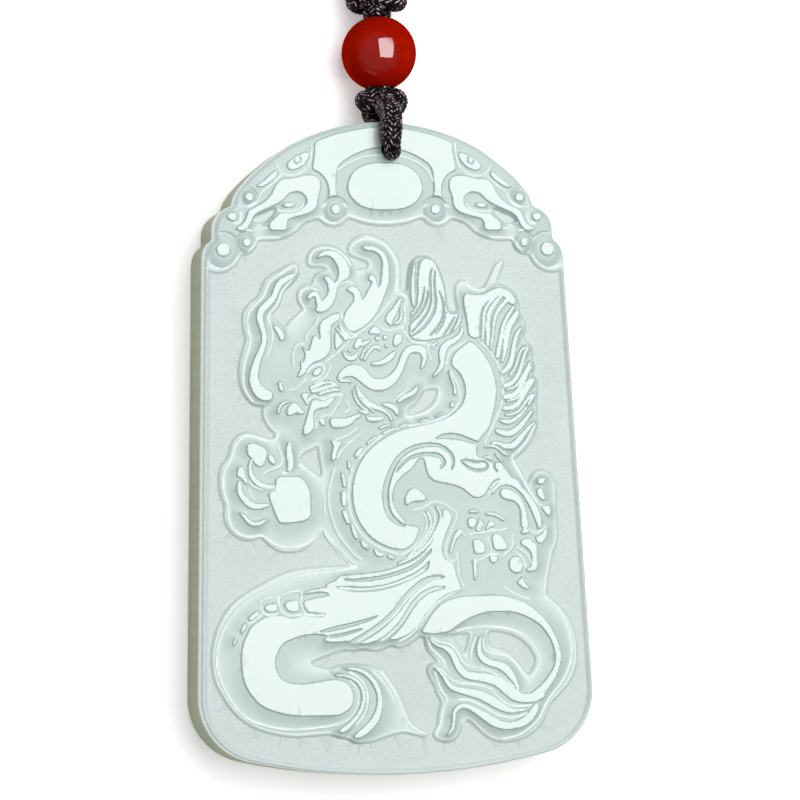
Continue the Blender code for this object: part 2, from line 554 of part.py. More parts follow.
def make_necklace(knot_end, coil_y, coil_radius, group, material):
    """Two strands from the upper knot, laid down on the way to the coil's rim."""
    lie = CORD_DIAMETER / 2
    spread = 4.6 * MM
    keep_off = coil_radius + lie + GAP
    end_y = coil_y - math.sqrt(keep_off ** 2 - spread ** 2)
    run = end_y - knot_end
    for name, side in (("necklace_cord_left", -1), ("necklace_cord_right", 1)):
        points = [
            Vector((SHIFT_RIGHT + side * 1.3 * MM, knot_end + GAP, CORD_HEIGHT)),
            Vector((SHIFT_RIGHT + side * 1.7 * MM, knot_end + 0.33 * run, CORD_HEIGHT - 0.8 * MM)),
            Vector((SHIFT_RIGHT + side * 3.0 * MM, knot_end + 0.72 * run, lie + GAP)),
            Vector((SHIFT_RIGHT + side * spread, end_y, lie)),
        ]
        tube(name, curve_through(points, 3), group, material)


def main():
    clear_scene()
    group = make_collection("carved_pendant")
    cutters = make_collection("cutters")
    jade = make_material("jade", (0.72, 0.79, 0.77), 0.22)
    agate = make_material("agate", (0.42, 0.015, 0.008), 0.08)
    braid = make_material("braid", (0.045, 0.03, 0.04), 0.6)
    make_tablet(group, cutters, jade)
    _, bead, _ = string_stations()
    make_bead(bead, group, agate)
    knot_end = make_string(group, braid)
    coil_y = knot_end + COIL_BEYOND_KNOT
    coil_radius = make_coil(coil_y, group, braid)
    make_necklace(knot_end, coil_y, coil_radius, group, braid)


main()
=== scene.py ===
# %% [markdown]
# This lesson dresses a carved jade pendant that lies face up on a pale floor.
# The solids from the frame already have its size and its broad carving. Here the
# face gets its fine relief, the bead its polish and the string its braid and knots.

import math

import bmesh
import bpy
import numpy as np
from mathutils import Matrix, Vector


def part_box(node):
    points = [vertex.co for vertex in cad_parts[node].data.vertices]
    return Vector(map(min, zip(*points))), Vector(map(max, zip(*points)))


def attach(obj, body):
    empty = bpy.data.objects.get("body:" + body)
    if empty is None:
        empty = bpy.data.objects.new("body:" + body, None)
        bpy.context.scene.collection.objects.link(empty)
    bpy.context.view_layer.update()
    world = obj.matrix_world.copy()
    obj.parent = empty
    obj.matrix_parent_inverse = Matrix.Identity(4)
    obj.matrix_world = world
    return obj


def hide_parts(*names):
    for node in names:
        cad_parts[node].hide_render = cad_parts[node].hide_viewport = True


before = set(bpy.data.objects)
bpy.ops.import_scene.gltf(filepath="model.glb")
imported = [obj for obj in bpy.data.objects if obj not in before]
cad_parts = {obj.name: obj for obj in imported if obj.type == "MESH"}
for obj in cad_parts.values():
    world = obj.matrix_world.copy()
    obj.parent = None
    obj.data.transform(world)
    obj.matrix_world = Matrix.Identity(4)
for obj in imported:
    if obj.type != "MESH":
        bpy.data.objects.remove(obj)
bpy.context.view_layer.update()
MM = 0.001
tablet_low, tablet_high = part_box("jade_tablet")
FACE = tablet_high[2] / MM
print("solids:", sorted(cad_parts), "face at", round(FACE, 2), "mm")

# %% [markdown]
# The photograph looks down on the pendant a little from the left and from below,
# through a long lens, so its left wall and a dark line of its lower wall show.
# The camera could be placed by eye, but a yaw, a pitch and a roll about the middle
# of the face keep the same view when the distance changes.

# %% The camera
VIEW_YAW, VIEW_PITCH, VIEW_ROLL = 0.2453, 0.0615, 0.0306
VIEW_DISTANCE = 402 * MM
LENS = 180.9
SENSOR_WIDTH = 36
IMAGE_SIZE = 800
MIDDLE_PIXEL = (393.7, 460.75)      # where the middle of the face lies in the photograph
turn = (Matrix.Rotation(VIEW_ROLL, 3, "Z") @ Matrix.Rotation(-VIEW_PITCH, 3, "X")
        @ Matrix.Rotation(VIEW_YAW, 3, "Y")).transposed()


def look_from(name, lens):
    data = bpy.data.cameras.new(name)
    data.lens = lens
    data.sensor_width = SENSOR_WIDTH
    data.clip_start = 0.01
    data.shift_x = (IMAGE_SIZE / 2 - MIDDLE_PIXEL[0]) / IMAGE_SIZE
    data.shift_y = (MIDDLE_PIXEL[1] - IMAGE_SIZE / 2) / IMAGE_SIZE
    camera = bpy.data.objects.new(name, data)
    bpy.context.scene.collection.objects.link(camera)
    camera.matrix_world = Matrix.Translation(turn @ Vector((0, 0, VIEW_DISTANCE))
                                             + Vector((0, 0, FACE * MM))) @ turn.to_4x4()
    return camera


bpy.context.scene.camera = look_from("photo_camera", LENS)
print("camera at", [round(value, 3) for value in bpy.context.scene.camera.location])

# %% [markdown]
# Polished stone shows its shape by what it mirrors. One large softbox hangs where
# the flat carved tops mirror it to the camera, so that they turn white, while the
# slopes between them mirror the darker room. A weak sky keeps the hollows readable.
# The Standard view keeps a white floor white and the red bead deep, as a studio
# picture on a white ground has them, where AgX would make both of them paler.

# %% The floor and the lights
FLOOR_HALF = 1.5
FLOOR_GAP = 0.05 * MM       # keeps the floor and the flat back from sharing a plane
SKY = 0.11
SKY_COLOR = (0.93, 0.96, 1.0, 1)
WINDOW_WAY = (0.46, 0.31, 1.0)
WINDOW_DISTANCE = 0.62
WINDOW_SIZE = (0.50, 0.70)
WINDOW_WATTS = 4.8


def softbox(name, toward, distance, size, watts):
    """A soft lamp that hangs in one direction, given in the camera's own axes."""
    data = bpy.data.lights.new(name, "AREA")
    data.shape = "RECTANGLE"
    data.size, data.size_y = size
    data.energy = watts
    lamp = bpy.data.objects.new(name, data)
    bpy.context.scene.collection.objects.link(lamp)
    way = (turn @ Vector(toward)).normalized()
    side = (turn @ Vector((0, 1, 0))).cross(way).normalized()
    axes = Matrix((side, way.cross(side), way)).transposed()
    lamp.matrix_world = Matrix.Translation(way * distance) @ axes.to_4x4()


softbox("window", WINDOW_WAY, WINDOW_DISTANCE, WINDOW_SIZE, WINDOW_WATTS)
bpy.context.scene.view_settings.view_transform = "Standard"
world = bpy.data.worlds.new("room")
bpy.context.scene.world = world
world.use_nodes = True
world.node_tree.nodes["Background"].inputs["Color"].default_value = SKY_COLOR
world.node_tree.nodes["Background"].inputs["Strength"].default_value = SKY

bm = bmesh.new()
bmesh.ops.create_grid(bm, x_segments=2, y_segments=2, size=FLOOR_HALF)
for vertex in bm.verts:
    vertex.co.z = -FLOOR_GAP
floor_mesh = bpy.data.meshes.new("floor")
bm.to_mesh(floor_mesh)
bm.free()
floor = bpy.data.objects.new("floor", floor_mesh)
bpy.context.scene.collection.objects.link(floor)
print("one floor and one softbox")

# %% [markdown]
# Materials are written as sums. A small class wraps a node's socket, so that
# `1 - mask` or `noise * 0.2` adds the Math node that it means, and one method makes
# any other node from its type, its settings and its inputs.

# %% A way to write materials


class Wire:
    """One socket of a node tree, with the sums that are used here."""

    def __init__(self, finish, socket):
        self.finish = finish
        self.socket = socket

    def _math(self, operation, a, b):
        return self.finish.node("ShaderNodeMath", {"operation": operation}, {0: a, 1: b})

    def __add__(self, other):
        return self._math("ADD", self, other)

    def __sub__(self, other):
        return self._math("SUBTRACT", self, other)

    def __rsub__(self, other):
        return self._math("SUBTRACT", other, self)

    def __mul__(self, other):
        return self._math("MULTIPLY", self, other)

    __radd__ = __add__
    __rmul__ = __mul__

    def ramp(self, low, high):
        """0 below low, 1 above high, and smooth between."""
        return self.finish.node("ShaderNodeMapRange", {"interpolation_type": "SMOOTHSTEP"},
                                {"Value": self, "From Min": low, "From Max": high})


class Finish:
    """A material whose nodes are added by short calls."""

    def __init__(self, name, **constants):
        self.material = bpy.data.materials.new(name)
        self.material.use_nodes = True
        self.tree = self.material.node_tree
        self.shader = self.tree.nodes["Principled BSDF"]
        for key, value in constants.items():
            self.shader.inputs[key.replace("_", " ")].default_value = value

    def node(self, kind, settings=None, inputs=None, output=0):
        made = self.tree.nodes.new(kind)
        for key, value in (settings or {}).items():
            setattr(made, key, value)
        for key, value in (inputs or {}).items():
            self.feed(made.inputs[key], value)
        return Wire(self, made.outputs[output])

    def feed(self, socket, value):
        if isinstance(value, Wire):
            self.tree.links.new(value.socket, socket)
        else:
            socket.default_value = value

    def place(self):
        return self.node("ShaderNodeTexCoord", output="Object")

    def attribute(self, name):
        return self.node("ShaderNodeAttribute", {"attribute_name": name}, output="Fac")

    def noise(self, scale, detail=3.0, rough=0.5):
        return self.node("ShaderNodeTexNoise", {},
                         {"Vector": self.place(), "Scale": scale, "Detail": detail, "Roughness": rough})

    def wave(self, turns):
        """A cosine of a count of whole turns."""
        return self.node("ShaderNodeMath", {"operation": "COSINE"}, {0: turns * (2 * math.pi)})

    def blend(self, share, a, b):
        """A colour between a and b."""
        mix = self.tree.nodes.new("ShaderNodeMix")
        mix.data_type = "RGBA"
        self.feed(mix.inputs[0], share)
        self.feed(mix.inputs[6], a)
        self.feed(mix.inputs[7], b)
        return Wire(self, mix.outputs[2])

    def set(self, **inputs):
        for key, value in inputs.items():
            self.feed(self.shader.inputs[key.replace("_", " ")], value)

    def bump(self, height, strength, distance):
        made = self.node("ShaderNodeBump", {}, {"Height": height, "Strength": strength, "Distance": distance})
        self.feed(self.shader.inputs["Normal"], made)


def paint(red, green, blue):
    """A colour from 0 to 255 on a screen, as the light value that a shader takes."""
    return tuple((value / 255) ** 2.2 for value in (red, green, blue)) + (1,)


floor_finish = Finish("pale_floor", Roughness=0.9, Emission_Color=(1, 1, 1, 1), Emission_Strength=0.35)
floor_cloud = floor_finish.noise(9.0)
floor_finish.set(Base_Color=floor_finish.blend(floor_cloud, paint(246, 247, 247), paint(250, 251, 251)))
floor.data.materials.append(floor_finish.material)
print("materials can be written")

# %% [markdown]
# The carving is drawn in millimetres on the face, from the middle, as a carver
# draws it before cutting: narrow tops by their centre line and half width, broad
# tops by their edge. Few points are enough, because each line is softened later.

# %% The narrow tops, by centre line: x, y, half width
STROKES = {
    "whisker": [
        (-9.6, 18.75, 0.12), (-10.4, 18.35, 0.28), (-11.1, 17.95, 0.3), (-11.5, 17.2, 0.28),
        (-11.75, 16.5, 0.25), (-12.3, 15.9, 0.33), (-13, 15.3, 0.33), (-13.3, 14.6, 0.3),
        (-13.15, 13.8, 0.27), (-12.85, 12.9, 0.23), (-12.85, 12, 0.23), (-13.2, 11.1, 0.26),
        (-13.6, 10.3, 0.3), (-13.95, 9.2, 0.38), (-14.05, 8.2, 0.45), (-13.8, 7.4, 0.5),
        (-13.2, 6.85, 0.62), (-12.7, 6.7, 0.5)],
    "leaf": [(-11.7, 13.55, 0.17), (-11.4, 13.2, 0.25), (-11.1, 12.7, 0.27), (-11.05, 12.4, 0.2)],
    "spot": [(-11.4, 7.9, 0.15), (-11.25, 7.3, 0.17)],
    "antler": [
        (-7.1, 20.5, 0.05), (-6.7, 20.8, 0.17), (-6.1, 20.95, 0.25), (-5.4, 20.7, 0.35),
        (-4.85, 20.1, 0.45), (-4.5, 19.4, 0.55), (-4.45, 18.8, 0.55), (-4.75, 18.45, 0.35),
        (-5.15, 18, 0.15), (-5.45, 17.6, 0.2)],
    "antler_low": [
        (-6.35, 18.4, 0.15), (-6, 18.1, 0.28), (-5.8, 17.5, 0.35), (-5.75, 16.9, 0.38), (-6, 16.3, 0.42),
        (-6.5, 15.7, 0.5), (-6.9, 15.4, 0.42), (-7.3, 15.25, 0.2)],
    "antler_hook": [
        (-8.15, 16.45, 0.15), (-7.95, 16.75, 0.22), (-7.5, 16.85, 0.25), (-7.25, 16.5, 0.22),
        (-7.2, 16, 0.25), (-7, 15.5, 0.3)],
    "brow1": [(-5.1, 13.6, 0.12), (-4.8, 13, 0.16), (-4.3, 12.5, 0.2), (-4, 12.35, 0.1)],
    "brow2": [(-5.45, 13.3, 0.08), (-5, 12.8, 0.1), (-4.5, 12.2, 0.12)],
    "cheek": [(-3.1, 12.2, 0.2), (-3.3, 11.8, 0.3), (-3.5, 11.5, 0.2)],
    "cheek2": [(-2.9, 11.7, 0.15), (-2.4, 11.9, 0.15), (-2.1, 12.1, 0.08)],
    "ear": [
        (1.2, 16.2, 0.12), (0.95, 15.7, 0.2), (0.6, 15.1, 0.28), (0.2, 14.6, 0.38), (-0.05, 14.2, 0.35),
        (0.15, 13.75, 0.12)],
    "ear_in": [(1.25, 15.2, 0.1), (1.3, 14.6, 0.12), (1.1, 14, 0.14), (0.6, 13.75, 0.1)],
    "s_whisker": [
        (3.2, 9.3, 0.08), (3.45, 9.9, 0.17), (3.55, 10.5, 0.25), (3.4, 11.05, 0.35), (2.9, 11.25, 0.37),
        (2.3, 11.25, 0.35), (1.75, 11, 0.33), (1.4, 10.4, 0.33), (1.15, 9.7, 0.32), (0.85, 9.1, 0.33),
        (0.4, 8.45, 0.42), (-0.3, 7.85, 0.5), (-1.1, 7.6, 0.55), (-1.9, 7.7, 0.55), (-2.6, 8.2, 0.55),
        (-3.2, 8.9, 0.65), (-3.9, 9.15, 0.6), (-4.7, 8.95, 0.4), (-5.2, 8.55, 0.25), (-5.35, 8.25, 0.12)],
    "crescent": [
        (-1.85, 9.75, 0.12), (-1.1, 9.8, 0.2), (-0.4, 10.1, 0.25), (0.1, 10.5, 0.25), (0.4, 10.85, 0.12)],
    "lid": [
        (-2.65, 10.2, 0.1), (-2.4, 10.7, 0.12), (-2, 11.2, 0.12), (-1.6, 11.5, 0.15), (-1.2, 11.45, 0.15),
        (-1.1, 11.2, 0.1)],
    "lid2": [
        (-4.8, 10.9, 0.08), (-4.6, 10.5, 0.15), (-4.1, 10.3, 0.25), (-3.6, 10.45, 0.2), (-3.4, 10.85, 0.1)],
    "lid3": [(-3, 10.3, 0.1), (-2.8, 10.8, 0.1), (-2.55, 11.3, 0.1)],
    "muzzle1": [(-8.2, 7.4, 0.15), (-7.5, 7.7, 0.2), (-7, 7.9, 0.15), (-6.4, 7.95, 0.12), (-5.8, 7.8, 0.1)],
    "muzzle2": [
        (-8.1, 7.05, 0.15), (-7.4, 7.2, 0.17), (-6.7, 7.45, 0.17), (-6, 7.6, 0.14), (-5.4, 7.55, 0.1)],
    "muzzle3": [(-7.4, 6.75, 0.12), (-6.8, 7, 0.14), (-6.1, 7.15, 0.12), (-5.4, 7.2, 0.12)],
    "muzzle4": [(-5.2, 8.05, 0.1), (-4.7, 8.15, 0.15), (-4.2, 8, 0.1)],
    "nose_line": [(-11.65, 5, 0.1), (-11.55, 5.5, 0.1), (-11.1, 5.95, 0.1), (-10.5, 6.1, 0.07)],
    "teeth1": [(-3.35, 5.05, 0.08), (-3, 4.95, 0.13), (-2.6, 4.85, 0.17), (-2.45, 4.85, 0.08)],
    "lip0": [(-3.65, 7.5, 0.08), (-3.4, 7.1, 0.13), (-3.15, 6.6, 0.2)],
    "lip1": [(-3.9, 7.1, 0.08), (-3.8, 6.5, 0.1), (-3.5, 5.9, 0.12), (-3.1, 5.45, 0.1), (-2.6, 5.1, 0.1)],
    "lip2": [
        (-3.5, 6.9, 0.06), (-3.3, 6.3, 0.07), (-2.8, 5.75, 0.08), (-2.2, 5.2, 0.08), (-1.85, 4.9, 0.06)],
    "jowl": [
        (0.7, 5.95, 0.12), (1.1, 6.3, 0.2), (1.7, 6.6, 0.22), (2.2, 6.75, 0.2), (2.5, 7.1, 0.18),
        (2.65, 7.4, 0.08)],
    "neck1": [(6.1, 8.9, 0.08), (6.3, 8.2, 0.12), (6.55, 7.5, 0.1), (6.6, 6.7, 0.12)],
    "neck2": [(6.35, 5.8, 0.08), (6.2, 5.45, 0.14)],
    "lock": [
        (7.5, 13.3, 0.1), (7.5, 12.9, 0.15), (7.2, 12.4, 0.2), (6.6, 12, 0.25), (5.9, 11.7, 0.3),
        (5.5, 11.2, 0.35), (5.35, 10.5, 0.3), (5.4, 9.8, 0.22), (5.1, 9.2, 0.2), (4.8, 8.8, 0.12),
        (4.4, 8.5, 0.05)],
    "tine": [(4.2, 11.75, 0.06), (4.5, 11.5, 0.12), (4.85, 11.85, 0.08)],
    "belly01": [(-3.75, 0.6, 0.2), (-3.5, 1, 0.22), (-3.2, 1.25, 0.12)],
    "belly02": [(-2.6, 1.8, 0.08), (-2.1, 2.2, 0.12), (-1.7, 2.4, 0.08)],
    "belly03": [(-1, 2.8, 0.08), (-0.4, 3, 0.1), (0.3, 3.25, 0.08)],
    "belly04": [(-1.3, 3.3, 0.08), (-0.8, 3.5, 0.1), (-0.1, 3.6, 0.06)],
    "belly05": [(0.8, 3.45, 0.08), (1.4, 3.6, 0.1)],
    "belly06": [(2.9, 3.9, 0.08), (3.7, 4.05, 0.1)],
    "belly07": [(4.6, 4.4, 0.06), (5.2, 4.7, 0.08)],
    "belly08": [(-4.6, -0.1, 0.12), (-4.55, -0.6, 0.12)],
    "belly09": [(-5.3, -1.25, 0.1), (-5.15, -1.8, 0.17), (-5.1, -2.4, 0.13)],
    "belly10": [(-5.22, -3.15, 0.22), (-5.22, -3.7, 0.24), (-5.18, -4.25, 0.2)],
    "belly11": [(-5.2, -5.05, 0.2), (-5, -5.6, 0.22), (-4.85, -6.05, 0.16)],
    "belly12": [(-4.5, -6.3, 0.08), (-4.25, -7, 0.2), (-4.05, -7.55, 0.17)],
    "belly13": [(-3.55, -7.9, 0.08), (-3.35, -8.3, 0.2), (-2.95, -8.6, 0.2)],
    "belly14": [(-2.2, -8.9, 0.08), (-1.9, -9.3, 0.22), (-1.5, -9.35, 0.17)],
    "belly15": [(-0.8, -9.5, 0.1), (-0.4, -9.7, 0.15)],
    "sheaf1": [
        (1.3, -9.55, 0.1), (2, -8.9, 0.13), (2.8, -8, 0.13), (3.4, -7.2, 0.13), (3.7, -6.4, 0.12),
        (3.6, -5.7, 0.15), (3.3, -5.2, 0.12)],
    "sheaf2": [
        (0.2, -10.3, 0.08), (1, -10, 0.12), (2, -9.5, 0.13), (3, -8.7, 0.14), (3.7, -7.9, 0.14),
        (4.3, -6.9, 0.14), (4.7, -6, 0.12), (4.7, -5.3, 0.12), (4.3, -4.7, 0.1)],
    "tail1": [
        (3.2, -17.8, 0.08), (3.6, -18.4, 0.1), (4.3, -18.65, 0.12), (5, -18.9, 0.25), (5.5, -19.4, 0.3),
        (5.8, -20.2, 0.3), (6.2, -21, 0.35), (6.9, -21.65, 0.35), (8, -21.8, 0.4), (9, -21.95, 0.45),
        (10, -22.3, 0.45), (10.9, -23, 0.5), (11.7, -23.7, 0.55), (12.6, -24.1, 0.42), (13.6, -24.1, 0.45),
        (14.4, -23.7, 0.5)],
    "tail2": [
        (8.4, -17.95, 0.12), (8.25, -18.6, 0.18), (8.2, -19.3, 0.23), (8.55, -20, 0.3), (9.3, -20.45, 0.3),
        (10.2, -20.65, 0.33), (10.9, -21, 0.4), (11.5, -21.7, 0.35), (11.9, -22.4, 0.2),
        (12.15, -22.95, 0.15), (12.2, -23.2, 0.1)],
    "tail3": [
        (3.8, -20.9, 0.08), (4.4, -21.5, 0.15), (4.8, -22.2, 0.2), (5.3, -22.85, 0.22), (6.2, -23.1, 0.28),
        (7.2, -23.35, 0.35), (8.2, -23.6, 0.42), (9, -24, 0.45), (9.8, -24.5, 0.42), (10.6, -25, 0.35),
        (11.4, -25.3, 0.22), (12.3, -25.3, 0.12), (13, -25.2, 0.08)],
    "tail4": [
        (4.8, -27.45, 0.06), (5.2, -27, 0.14), (5.4, -26.3, 0.14), (5.4, -25.5, 0.15), (5.65, -24.95, 0.2),
        (6.2, -24.65, 0.22), (6.9, -24.7, 0.22), (7.7, -25.15, 0.28), (8.6, -25.75, 0.36),
        (9.5, -26.35, 0.42), (10.4, -26.75, 0.36), (11.4, -26.8, 0.32), (12.4, -26.6, 0.36),
        (13.2, -26.1, 0.38), (13.75, -25.4, 0.36), (14, -24.9, 0.25)],
    "tuft1": [
        (-6.5, -21.25, 0.08), (-5.6, -21.3, 0.12), (-4.8, -21.6, 0.14), (-4.1, -22.2, 0.15),
        (-3.75, -23.1, 0.17), (-3.8, -24.1, 0.17), (-4.2, -25, 0.17), (-4.9, -25.9, 0.18),
        (-5.8, -26.6, 0.25), (-6.2, -26.8, 0.15)],
    "tuft2": [
        (-5.4, -20.6, 0.08), (-4.4, -20.7, 0.15), (-3.5, -21.1, 0.18), (-2.8, -21.8, 0.2),
        (-2.3, -22.7, 0.22), (-2.1, -23.7, 0.22), (-2.2, -24.7, 0.27), (-2.6, -25.7, 0.35),
        (-3.4, -26.6, 0.35), (-4.3, -27.2, 0.3), (-4.7, -27.4, 0.15)],
    "scale3": [(-15.05, -15.45, 0.15), (-14.7, -15.15, 0.22), (-14.3, -14.9, 0.15)],
    "scale4": [(-15.95, -16.7, 0.1), (-15.75, -16.3, 0.17), (-15.6, -16, 0.1)],
    "scale5": [(-16.8, -17.9, 0.08), (-16.6, -17.4, 0.1)],
    "talon2": [
        (-14.55, 0.2, 0.1), (-14.7, -0.5, 0.17), (-14.6, -1.2, 0.22), (-14.2, -1.8, 0.25),
        (-13.6, -2.25, 0.25), (-12.9, -2.4, 0.2), (-12.3, -2.4, 0.12)],
    "talon4": [
        (-15.75, -1.9, 0.15), (-15.85, -2.5, 0.22), (-15.7, -3.1, 0.25), (-15.3, -3.7, 0.27),
        (-14.7, -4.2, 0.3), (-14, -4.35, 0.25), (-13.4, -4.3, 0.17), (-12.95, -4.2, 0.12)],
    "talon5": [
        (-15.75, -5, 0.06), (-15.4, -5.3, 0.14), (-15, -5.8, 0.18), (-14.5, -6.1, 0.2),
        (-13.9, -6.05, 0.17), (-13.4, -5.8, 0.12), (-13.05, -5.6, 0.06)],
    "wrist": [
        (-10.6, 1.85, 0.15), (-10.7, 1.2, 0.3), (-10.6, 0.5, 0.32), (-10.5, -0.2, 0.3),
        (-10.7, -0.75, 0.2)],
    "arm1": [
        (10.15, -3.3, 0.1), (10.5, -2.8, 0.15), (11.1, -2.45, 0.15), (11.8, -2.4, 0.16), (12.5, -2.6, 0.2),
        (13.1, -3, 0.22), (13.7, -3.7, 0.27), (14.2, -4.5, 0.3), (14.6, -5.3, 0.35), (14.85, -6.1, 0.3),
        (14.95, -6.7, 0.18), (14.9, -6.95, 0.08)],
    "arm0": [
        (9.9, -2.9, 0.07), (10.4, -2.35, 0.1), (11.2, -2.1, 0.12), (12, -2.15, 0.14), (12.6, -2.4, 0.15),
        (13.1, -2.8, 0.1)],
    "arm2": [(12, -1.95, 0.06), (12.6, -2.1, 0.1), (13, -2.55, 0.1)],
    "dash1": [(7.8, -5.2, 0.12), (8.5, -5.2, 0.12)],
    "dash2": [(9.5, -5.45, 0.1), (10.2, -5.5, 0.12), (10.8, -5.8, 0.12), (11.2, -6.1, 0.08)],
    "thumb": [
        (5.6, -9.2, 0.1), (5.8, -8.6, 0.12), (6.05, -7.9, 0.15), (6.4, -7.4, 0.25), (6.7, -7.25, 0.22)],
    "finger": [(8.1, -10.3, 0.22), (8.1, -10.8, 0.12), (8.1, -11.5, 0.12), (8.05, -12, 0.06)],
    "knuckle1": [(8.75, -5.95, 0.08), (8.7, -6.5, 0.1), (8.4, -7, 0.1)],
    "knuckle2": [(9, -6.2, 0.08), (8.9, -6.75, 0.1), (8.6, -7.15, 0.08)],
    "fin01": [
        (9.55, 12.1, 0.1), (9.75, 13, 0.14), (9.75, 14, 0.15), (9.9, 15, 0.15), (10.4, 15.8, 0.13),
        (11.2, 16.5, 0.1)],
    "fin02": [
        (10.15, 11.6, 0.17), (10.2, 12.6, 0.2), (10.25, 13.8, 0.2), (10.35, 14.7, 0.2), (10.8, 15.5, 0.2),
        (11.5, 16.3, 0.17), (11.9, 16.7, 0.1)],
    "fin03": [
        (10.5, 11.2, 0.1), (10.65, 12.2, 0.12), (10.8, 13.2, 0.1), (10.9, 14.2, 0.15), (11.3, 15, 0.17),
        (11.9, 15.7, 0.2), (12.4, 16.2, 0.2)],
    "fin04": [
        (11.15, 10.4, 0.2), (11.35, 11.4, 0.22), (11.6, 12.4, 0.2), (11.75, 13.3, 0.17),
        (12.2, 14.3, 0.17), (12.7, 15, 0.15), (13, 15.4, 0.1)],
    "fin05": [
        (11.6, 9.9, 0.1), (11.9, 10.8, 0.2), (12.05, 11.8, 0.25), (12.2, 12.8, 0.3), (12.5, 13.6, 0.3),
        (13, 14.3, 0.3), (13.3, 14.8, 0.2)],
    "fin06": [
        (11.65, 8.8, 0.2), (12.2, 9.2, 0.25), (12.6, 10, 0.25), (12.8, 11, 0.22), (13, 12, 0.2),
        (13.3, 12.8, 0.17), (13.7, 13.2, 0.1)],
    "fin07": [
        (12.4, 8.5, 0.1), (13, 9.3, 0.13), (13.3, 10.3, 0.12), (13.6, 11, 0.12), (14.1, 11.3, 0.12),
        (14.4, 11.2, 0.1)],
    "fin08": [
        (11.85, 7.4, 0.22), (12.6, 7.7, 0.22), (13.2, 8.4, 0.2), (13.6, 9.4, 0.17), (13.85, 10.3, 0.15),
        (14.1, 10.9, 0.14), (14.3, 11, 0.1)],
    "fin09": [(12, 7, 0.08), (13, 7.3, 0.12), (13.6, 8.2, 0.12), (14.1, 9, 0.13), (14.5, 9.7, 0.12)],
    "fin10": [
        (11.85, 6.3, 0.25), (12.7, 6.4, 0.25), (13.3, 7, 0.22), (13.8, 7.9, 0.18), (14.2, 8.8, 0.15),
        (14.6, 9.3, 0.12)],
    "fin11": [(12, 5.85, 0.08), (13, 6.05, 0.1), (13.6, 6.8, 0.12), (14.2, 7.8, 0.13), (14.6, 8.2, 0.08)],
    "fin12": [
        (11.7, 5.15, 0.22), (12.6, 5.2, 0.25), (13.3, 5.75, 0.22), (13.9, 6.7, 0.18), (14.5, 7.6, 0.2),
        (14.8, 8, 0.15)],
    "fin13": [(11.8, 4.5, 0.08), (12.6, 4.5, 0.12), (13.4, 5, 0.12), (14, 5.9, 0.12), (14.6, 6.5, 0.12)],
    "fin14": [(14.2, 5.5, 0.1), (14.6, 6.1, 0.12), (14.9, 6.5, 0.08)],
    "fin15": [(11.3, 3.9, 0.13), (12, 3.7, 0.2), (12.7, 3.95, 0.17), (13.4, 4.5, 0.14), (14, 5.2, 0.1)],
    "fin16": [
        (10.9, 2.85, 0.22), (11.6, 2.6, 0.27), (12.3, 2.6, 0.28), (13.1, 3.1, 0.27), (13.8, 3.9, 0.2),
        (14.5, 4.8, 0.12)],
    "fin17": [
        (10.3, 1.65, 0.1), (11, 1.6, 0.15), (11.7, 1.25, 0.25), (12.4, 1.3, 0.3), (13.1, 1.9, 0.27),
        (13.7, 2.6, 0.2), (14.3, 3.3, 0.15), (14.8, 3.7, 0.08)],
    "fin18": [(9.6, 1.3, 0.08), (10.3, 1.35, 0.1), (10.9, 1.15, 0.1), (11.3, 0.7, 0.12), (11.7, 0.45, 0.1)],
    "fin19": [(9.45, 0.2, 0.1), (9.8, 0.25, 0.12), (10.2, 0, 0.08)],
    "fin20": [(10.6, 0.5, 0.06), (10.9, 0.2, 0.08), (11.2, -0.2, 0.08)],
    "head_dot": [(-0.5, 12.4, 0.18), (-0.48, 12.4, 0.18)],
    "head_dot2": [(-0.35, 11.55, 0.15), (-0.33, 11.55, 0.15)],
    "head_dot3": [(-1.3, 12.3, 0.17), (-1.28, 12.3, 0.17)],
    "head_dot4": [(-4.15, 11.1, 0.13), (-4.13, 11.1, 0.13)],
}

